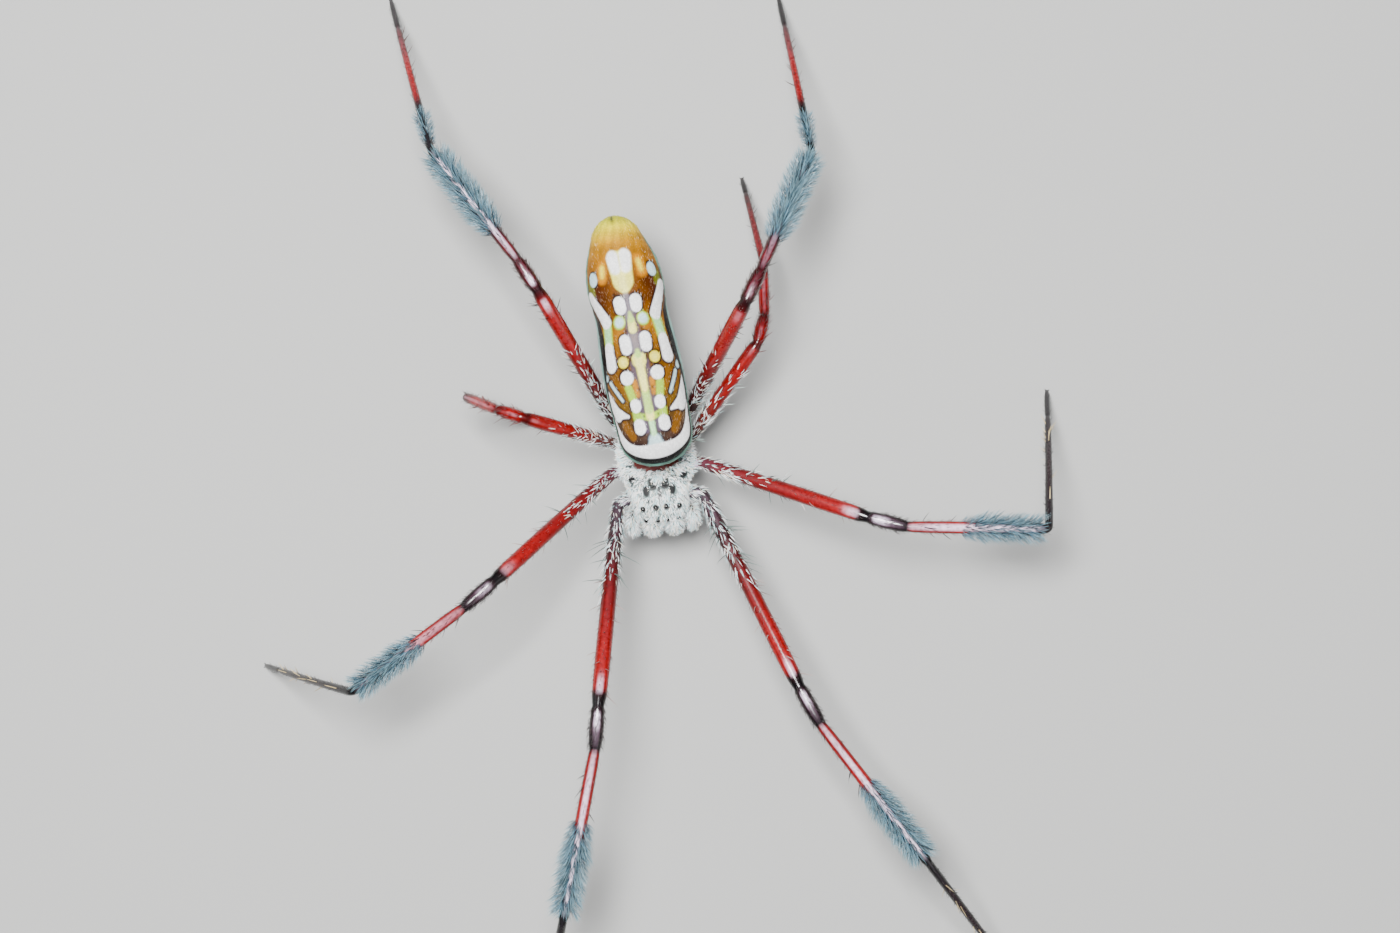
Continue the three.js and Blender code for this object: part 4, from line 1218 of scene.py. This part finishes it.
def headCoatPieces():
    pieces = []
    for name, look, spacing in (("headCoat", headCoat, 0.118), ("headUndercoat", headUndercoat, 0.115)):
        roots, outs = scattered(headPiece, spacing)
        x, y, z = roots.T
        share = (1 - bareness(x, y) * (z > head["rim"])) * eyeRoom(roots)
        share *= 1 - saddleShare(x, y) * (z > head["rim"])
        share *= eased(7.6, 8.3, z) * 0.94 + 0.06
        patchy = 0.8 + 0.2 * np.sin(x * 3.1 + 1) * np.sin(y * 2.7)
        roots, outs = kept(share * patchy, roots, outs)
        unwrap = aroundUnwrap(roots, (0, 8.4), -4.2, 5.6)
        scale = 1 - 0.35 * (1 - eased(0.3, 0.8, np.abs(roots[:, 1] + 2.9)))
        scale *= 1 - 0.4 * nearBare(roots[:, 0], roots[:, 1])
        piece = grown(name, tuftModels["tuft" if name == "headCoat" else "short"], roots, headLie(roots), outs, look,
                      silverTones(len(roots)), unwrap, scale)
        pieces.append(grownPiece(piece, finishes["silverHair"]))
    return pieces


# White hair on the jaws and feelers, alike in length, a little shaggier on the feelers, and shorter and dark at the
# feelers' tips.
faceCoats = {
    "jaw": {"length": 0.6, "width": 0.1, "lift": 30, "curl": 0.5, "sway": 18, "flat": 0.4, "vary": 0.35},
    "palp": {"length": 0.6, "width": 0.1, "lift": 32, "curl": 0.45, "sway": 22, "flat": 0.4, "vary": 0.35},
}


def faceCoatPieces():
    for side in ("left", "right"):
        roots, outs = scattered(jaws[side], 0.105)
        z = roots[:, 2]
        roots, outs = kept(eased(6.9, 8.0, z) * 0.95, roots, outs)
        lies = np.tile([0.0, -0.35, -1.0], (len(roots), 1))
        unwrap = aroundUnwrap(roots[:, [0, 2, 1]], (0.95 * (1 if side == "left" else -1), -4), 6, 10)
        coat = grown(f"cheliceraCoat_{side}", tuftModels["tuft"], roots, lies, outs, faceCoats["jaw"],
                     silverTones(len(roots)), unwrap)
        grownPiece(coat, finishes["silverHair"])
        roots, outs = scattered(palps[side], 0.1)
        x, y, z = roots.T
        tipward = np.where(y > -3.6, 0, 1) * (1 - eased(6.4, 7.4, z))
        lies = np.column_stack([np.zeros_like(x), np.where(z > 8.0, -1.0, -0.1), np.where(z > 8.0, -0.2, -1.0)])
        lies[(y > -2.95) & (z < 8.4)] = [0.3 * (1 if side == "left" else -1), -0.6, 0.8]
        colours = blended(silverTones(len(roots)), shade("2A2022"), tipward)
        unwrap = aroundUnwrap(roots[:, [0, 2, 1]], (2.5 * (1 if side == "left" else -1), -4), 5, 9.5)
        coat = grown(f"palpCoat_{side}", tuftModels["tuft"], roots, lies, outs, faceCoats["palp"], colours, unwrap,
                     1 - 0.4 * tipward)
        grownPiece(coat, finishes["silverHair"])


# Leg hair, placed by station along the leg and by the angle round it.
def legRoots(name, path, count, first, last, sides=None):
    station = random.uniform(first, last, count)
    place = atStation(path, station)
    angle = random.uniform(-math.pi, math.pi, count) if sides is None else sides(count)
    girth = legSizes[int(name[3])]["girth"]
    radius = np.interp(station, [a for a, _ in legProfile], [r for _, r in legProfile]) * girth
    side, lift = unit(along(path, "side", place)), unit(along(path, "lift", place))
    outs = side * np.cos(angle)[:, None] + lift * np.sin(angle)[:, None]
    roots = along(path, "centre", place) + outs * radius[:, None]
    unwrap = np.column_stack([0.5 + angle / (2 * math.pi) * 0.98, 0.01 + 0.98 * place / path["along"][-1]])
    return station, roots, along(path, "lie", place), outs, unwrap


def lengthBetween(path, first, last):
    return atStation(path, last) - atStation(path, first)


legHair = {"length": 0.46, "width": 0.045, "lift": 34, "curl": 0.35, "sway": 12, "flat": 0.7, "vary": 0.35,
           "tone": 0.25, "tip": "C9A08A", "tipShare": 0.25, "shadedRootTone": 0.8}
legSilver = {"length": 0.8, "width": 0.1, "lift": 24, "curl": 0.4, "sway": 18, "flat": 0.45, "vary": 0.45,
             "tone": 0.1, "shadedRootTone": 0.9}
# The brush locks' pale blue-grey tips are a painted sheen on dark hair.
brushLook = {"length": 1.5, "width": 0.07, "lift": 56, "liftVary": 0.3, "curl": 0.42, "sway": 13, "flat": 0.6,
             "vary": 0.17, "tone": 0.35, "shadedRootTone": 0.7, "tip": "C2DADE", "tipShare": 0.8}
spineLook = {"length": 1.15, "width": 0.11, "lift": 42, "liftVary": 0.25, "curl": 0.25, "sway": 10, "flat": 1.0,
             "vary": 0.25, "tone": 0.2}
brushesOf = {
    1: [(3.42, 3.93, 1.0)],
    2: [(3.38, 3.93, 0.9)],
    4: [(3.25, 3.92, 1.0), (4.03, 4.2, 0.62)],
}
brushDensity = 200 # locks for each millimetre of leg
silverEnd = {1: 1.5, 2: 1.42, 3: 1.75, 4: 1.6} # where the silver hair on each femur thins out


def brushSides(name): # fewer locks on top, where the glossy shin shows through
    thin = {"leg1_left": 0.2, "leg1_right": 0.3, "leg4_right": 0.3, "leg2_left": 0.3}.get(name, 1.0)

    def angles(count):
        angle = random.uniform(-math.pi, math.pi, count * 3)
        top = np.exp(-((angle - math.pi / 2) / 0.42) ** 2)
        return angle[random.random(count * 3) < 1 - (1 - thin) * top][:count]
    return angles


def legCoat(name, path):
    number = int(name[3])
    length = path["along"][-1]
    station, roots, lies, outs, unwrap = legRoots(name, path, int(length * 17), 1.05, 4.95)
    colours = coloursAlong(legColours[number], station) * 0.55 + shade("3A1416") * 0.3
    dark = station > 3.96
    colours[dark] = shade("2A1A1A")
    hair = grown(f"{name}_hair", tuftModels["short"], roots, lies, outs, legHair, colours, unwrap,
                 np.where(station > 4.0, 0.85, 1.0))
    grownPiece(hair, finishes["silverHair"])
    end = silverEnd[number]
    station, roots, lies, outs, unwrap = legRoots(name, path, int(lengthBetween(path, 0.35, end) * 80), 0.35, end)
    share = 1 - eased(1.15, min(end, 1.6), station) * 0.85
    share = share * (1 - 0.55 * eased(0.5, 0.8, station) * (1 - eased(1.0, 1.06, station)))
    station, roots, lies, outs, unwrap = kept(share, station, roots, lies, outs, unwrap)
    coat = grown(f"{name}_silver", tuftModels["short"], roots, lies, outs, legSilver, silverTones(len(roots), 0.12),
                 unwrap, 0.6 + 0.4 * eased(1.0, 1.12, station))
    grownPiece(coat, finishes["silverHair"])
    for i, (first, last, size) in enumerate(brushesOf.get(number, [])):
        count = int(lengthBetween(path, first, last) * brushDensity * size)
        station, roots, lies, outs, unwrap = legRoots(name, path, count, first, last, brushSides(name))
        ends = eased(first - 0.04, first + 0.14, station) * (1 - 0.15 * eased(last - 0.05, last, station))
        # The locks' blue-grey is the hair's own dark colour lightened by a painted sheen.
        colours = np.tile(shade("7492A0"), (len(roots), 1)) * random.uniform(0.45, 1.55, len(roots))[:, None]
        locks = grown(f"{name}_brush{i + 1}", tuftModels["lock"], roots, lies, outs, brushLook, colours, unwrap,
                      size * (0.55 + 0.45 * ends))
        grownPiece(locks, finishes["brushHair"])


# Spines and long white bristles: [first, last, how many, size, colour, how far they stand out].
spineRuns = {
    1: [(0.6, 1.05, 10, 0.6, "F4FAF8", 40), (1.12, 1.4, 20, 1.3, "A8B4B0", 66),
        (1.4, 1.95, 16, 0.8, "C8B8B4", 60), (3.05, 3.5, 7, 0.8, "3A1A1C", 50),
        (4.1, 4.75, 18, 0.8, "E3D6B8", 40)],
    2: [(0.6, 1.05, 8, 0.55, "F4FAF8", 40), (1.08, 1.5, 16, 0.95, "A8B4B0", 62),
        (1.5, 1.95, 9, 0.7, "C8B8B4", 58), (3.05, 3.5, 6, 0.75, "3A1A1C", 50),
        (4.1, 4.75, 16, 0.75, "E3D6B8", 40)],
    3: [(0.7, 1.6, 16, 0.7, "DCE8E4", 52), (1.6, 3.9, 14, 0.65, "9A4A4C", 52),
        (4.1, 4.75, 10, 0.6, "4A2A28", 40)],
    4: [(0.9, 1.5, 12, 0.75, "DCE8E4", 55), (1.4, 1.95, 12, 0.7, "5A1A1C", 55),
        (3.02, 3.3, 4, 0.7, "2A1416", 50),
        (4.3, 4.75, 12, 0.7, "8A6A62", 38)],
}


def legSpines(name, path):
    pieces = []
    for first, last, count, size, code, lean in spineRuns[int(name[3])]:
        station, roots, lies, outs, unwrap = legRoots(name, path, count, first, last)
        look = dict(spineLook, length=1.5 * size, lift=lean, sunk=0.1, width=0.1 * math.sqrt(size))
        pieces.append(grown(f"{name}_spines", tuftModels["spine"], roots, lies, outs, look,
                            np.tile(shade(code), (len(roots), 1)), unwrap))
    return grownPiece(joined(f"{name}_spines", pieces), finishes["spineCuticle"])


# Three small claws at the tip of each leg.
clawShape = {"path": [[0, 0, 0], [0, 0.05, 0.16], [0, -0.02, 0.3]], "profile": [[0, 0.06], [0.5, 0.045], [1, 0.012]]}


def clawsOn(name, path):
    tip, lie, side = path["centre"][-1], path["lie"][-1], path["side"][-1]
    pieces = []
    for spread in (-1, 0, 1):
        start = tip - lie * 0.08 + side * 0.07 * spread
        reach = unit(lie * [1, 1, 0.35] + side * 0.35 * spread)
        points = [start, start + reach * 0.14 + up * 0.06, start + reach * (0.3 if spread else 0.2) - up * 0.02]
        points = np.array(points)
        points[:, 2] = np.maximum(points[:, 2], 0.05)
        pieces.append(limbAlong("claw", framedPath(curved(points, 8), step=0.02), clawShape["profile"], 8, 1, 0.06))
    piece = joined(f"{name}_claws", pieces)
    paintPoints(piece, np.tile(shade("1A1010"), (len(piece.data.vertices), 1)))
    return finished(piece, finishes["fangCuticle"])


# Fine short hair lying back over the abdomen, in the colour of the marking under it.
abdomenHair = {"length": 0.3, "width": 0.035, "lift": 20, "curl": 0.5, "sway": 14, "flat": 0.6, "vary": 0.3,
               "tone": 0.12, "shadedRootTone": 0.9}


def abdomenCoat():
    roots, outs = scattered(abdomenPiece, 0.3)
    yaw = math.radians(abdomen["yaw"])
    startX, startY = abdomen["frontEnd"]
    dx, dy = roots[:, 0] - startX, roots[:, 1] - startY
    s = dy * math.cos(yaw) - dx * math.sin(yaw)
    across = dx * math.cos(yaw) + dy * math.sin(yaw)
    middle = abdomenSizes(s)[:, 2]
    colours = abdomenPaint(s, across, roots[:, 2] - middle)
    colours = colours * 0.75 + shade("F0EAD8") * 0.25
    lies = np.tile([-math.sin(yaw), math.cos(yaw), -0.1], (len(roots), 1))
    angle = np.arctan2(across, roots[:, 2] - middle)
    unwrap = np.column_stack([0.5 + angle / (2 * math.pi) * 0.98, 0.01 + 0.98 * s / abdomen["length"]])
    coat = grown("abdomenHair", tuftModels["short"], roots, lies, outs, abdomenHair, colours, unwrap)
    return grownPiece(coat, finishes["silverHair"])


headCoatPieces()
faceCoatPieces()
abdomenCoat()
print("head, face and abdomen coats")
for name, path in legPaths.items():
    legCoat(name, path)
    legSpines(name, path)
    clawsOn(name, path)
triangles = {piece.name: sum(len(face.vertices) - 2 for face in piece.data.polygons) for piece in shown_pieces()}
print("hair", sum(triangles.values()), "most", max(triangles.items(), key=lambda item: item[1]))


# Floor, light and camera.
studio = {
    "cameraPlace": (0.83 + 3.0, 0.76, 311),
    "lens": 87.2,
    "turn": -6.6,
    "floor": 900,
    "floorColour": (0.44, 0.44, 0.43, 1),
    "floorRoughness": 0.8,
    "airColour": (0.9, 0.93, 1.0, 1),
    "airStrength": 0.22,
    # name: place from the body in metres, size, power
    "lights": {
        "key": ((-0.03, 0.05, 0.31), 0.10, 2.7),
        "fill": ((0.28, -0.22, 0.22), 0.30, 0.3),
        "rim": ((-0.30, 0.10, 0.16), 0.25, 0.2),
    },
}


def stageAndLight():
    deselectAll()
    bpy.ops.mesh.primitive_plane_add(size=studio["floor"] * mm)
    floor = bpy.context.object
    floor.name = "floor"
    material = bpy.data.materials.new("paleFloor")
    material.use_nodes = True
    shader = material.node_tree.nodes["Principled BSDF"]
    shader.inputs["Base Color"].default_value = studio["floorColour"]
    shader.inputs["Roughness"].default_value = studio["floorRoughness"]
    floor.data.materials.append(material)
    centre = (bodyOrigin + np.array([3.0, 1.0, 10])) * mm
    for name, (place, size, power) in studio["lights"].items():
        bpy.ops.object.light_add(type="AREA", location=centre + np.array(place))
        light = bpy.context.object
        light.name = name
        light.data.size = size
        light.data.energy = power
        aim = -np.array(place)
        tilt = math.atan2(math.hypot(aim[0], aim[1]), -aim[2])
        light.rotation_euler = (0, tilt, math.atan2(aim[1], aim[0]) + math.pi)
    world = bpy.data.worlds.new("studio")
    world.use_nodes = True
    world.node_tree.nodes["Background"].inputs["Color"].default_value = studio["airColour"]
    world.node_tree.nodes["Background"].inputs["Strength"].default_value = studio["airStrength"]
    bpy.context.scene.world = world


def addCamera():
    x, y, z = studio["cameraPlace"]
    place = ((bodyOrigin[0] + x) * mm, (bodyOrigin[1] + y) * mm, z * mm)
    bpy.ops.object.camera_add(location=place, rotation=(0, 0, math.radians(studio["turn"])))
    camera = bpy.context.object
    camera.data.lens = studio["lens"]
    camera.data.sensor_width = 36
    camera.data.clip_start = 0.01
    bpy.context.scene.camera = camera


stageAndLight()
addCamera()
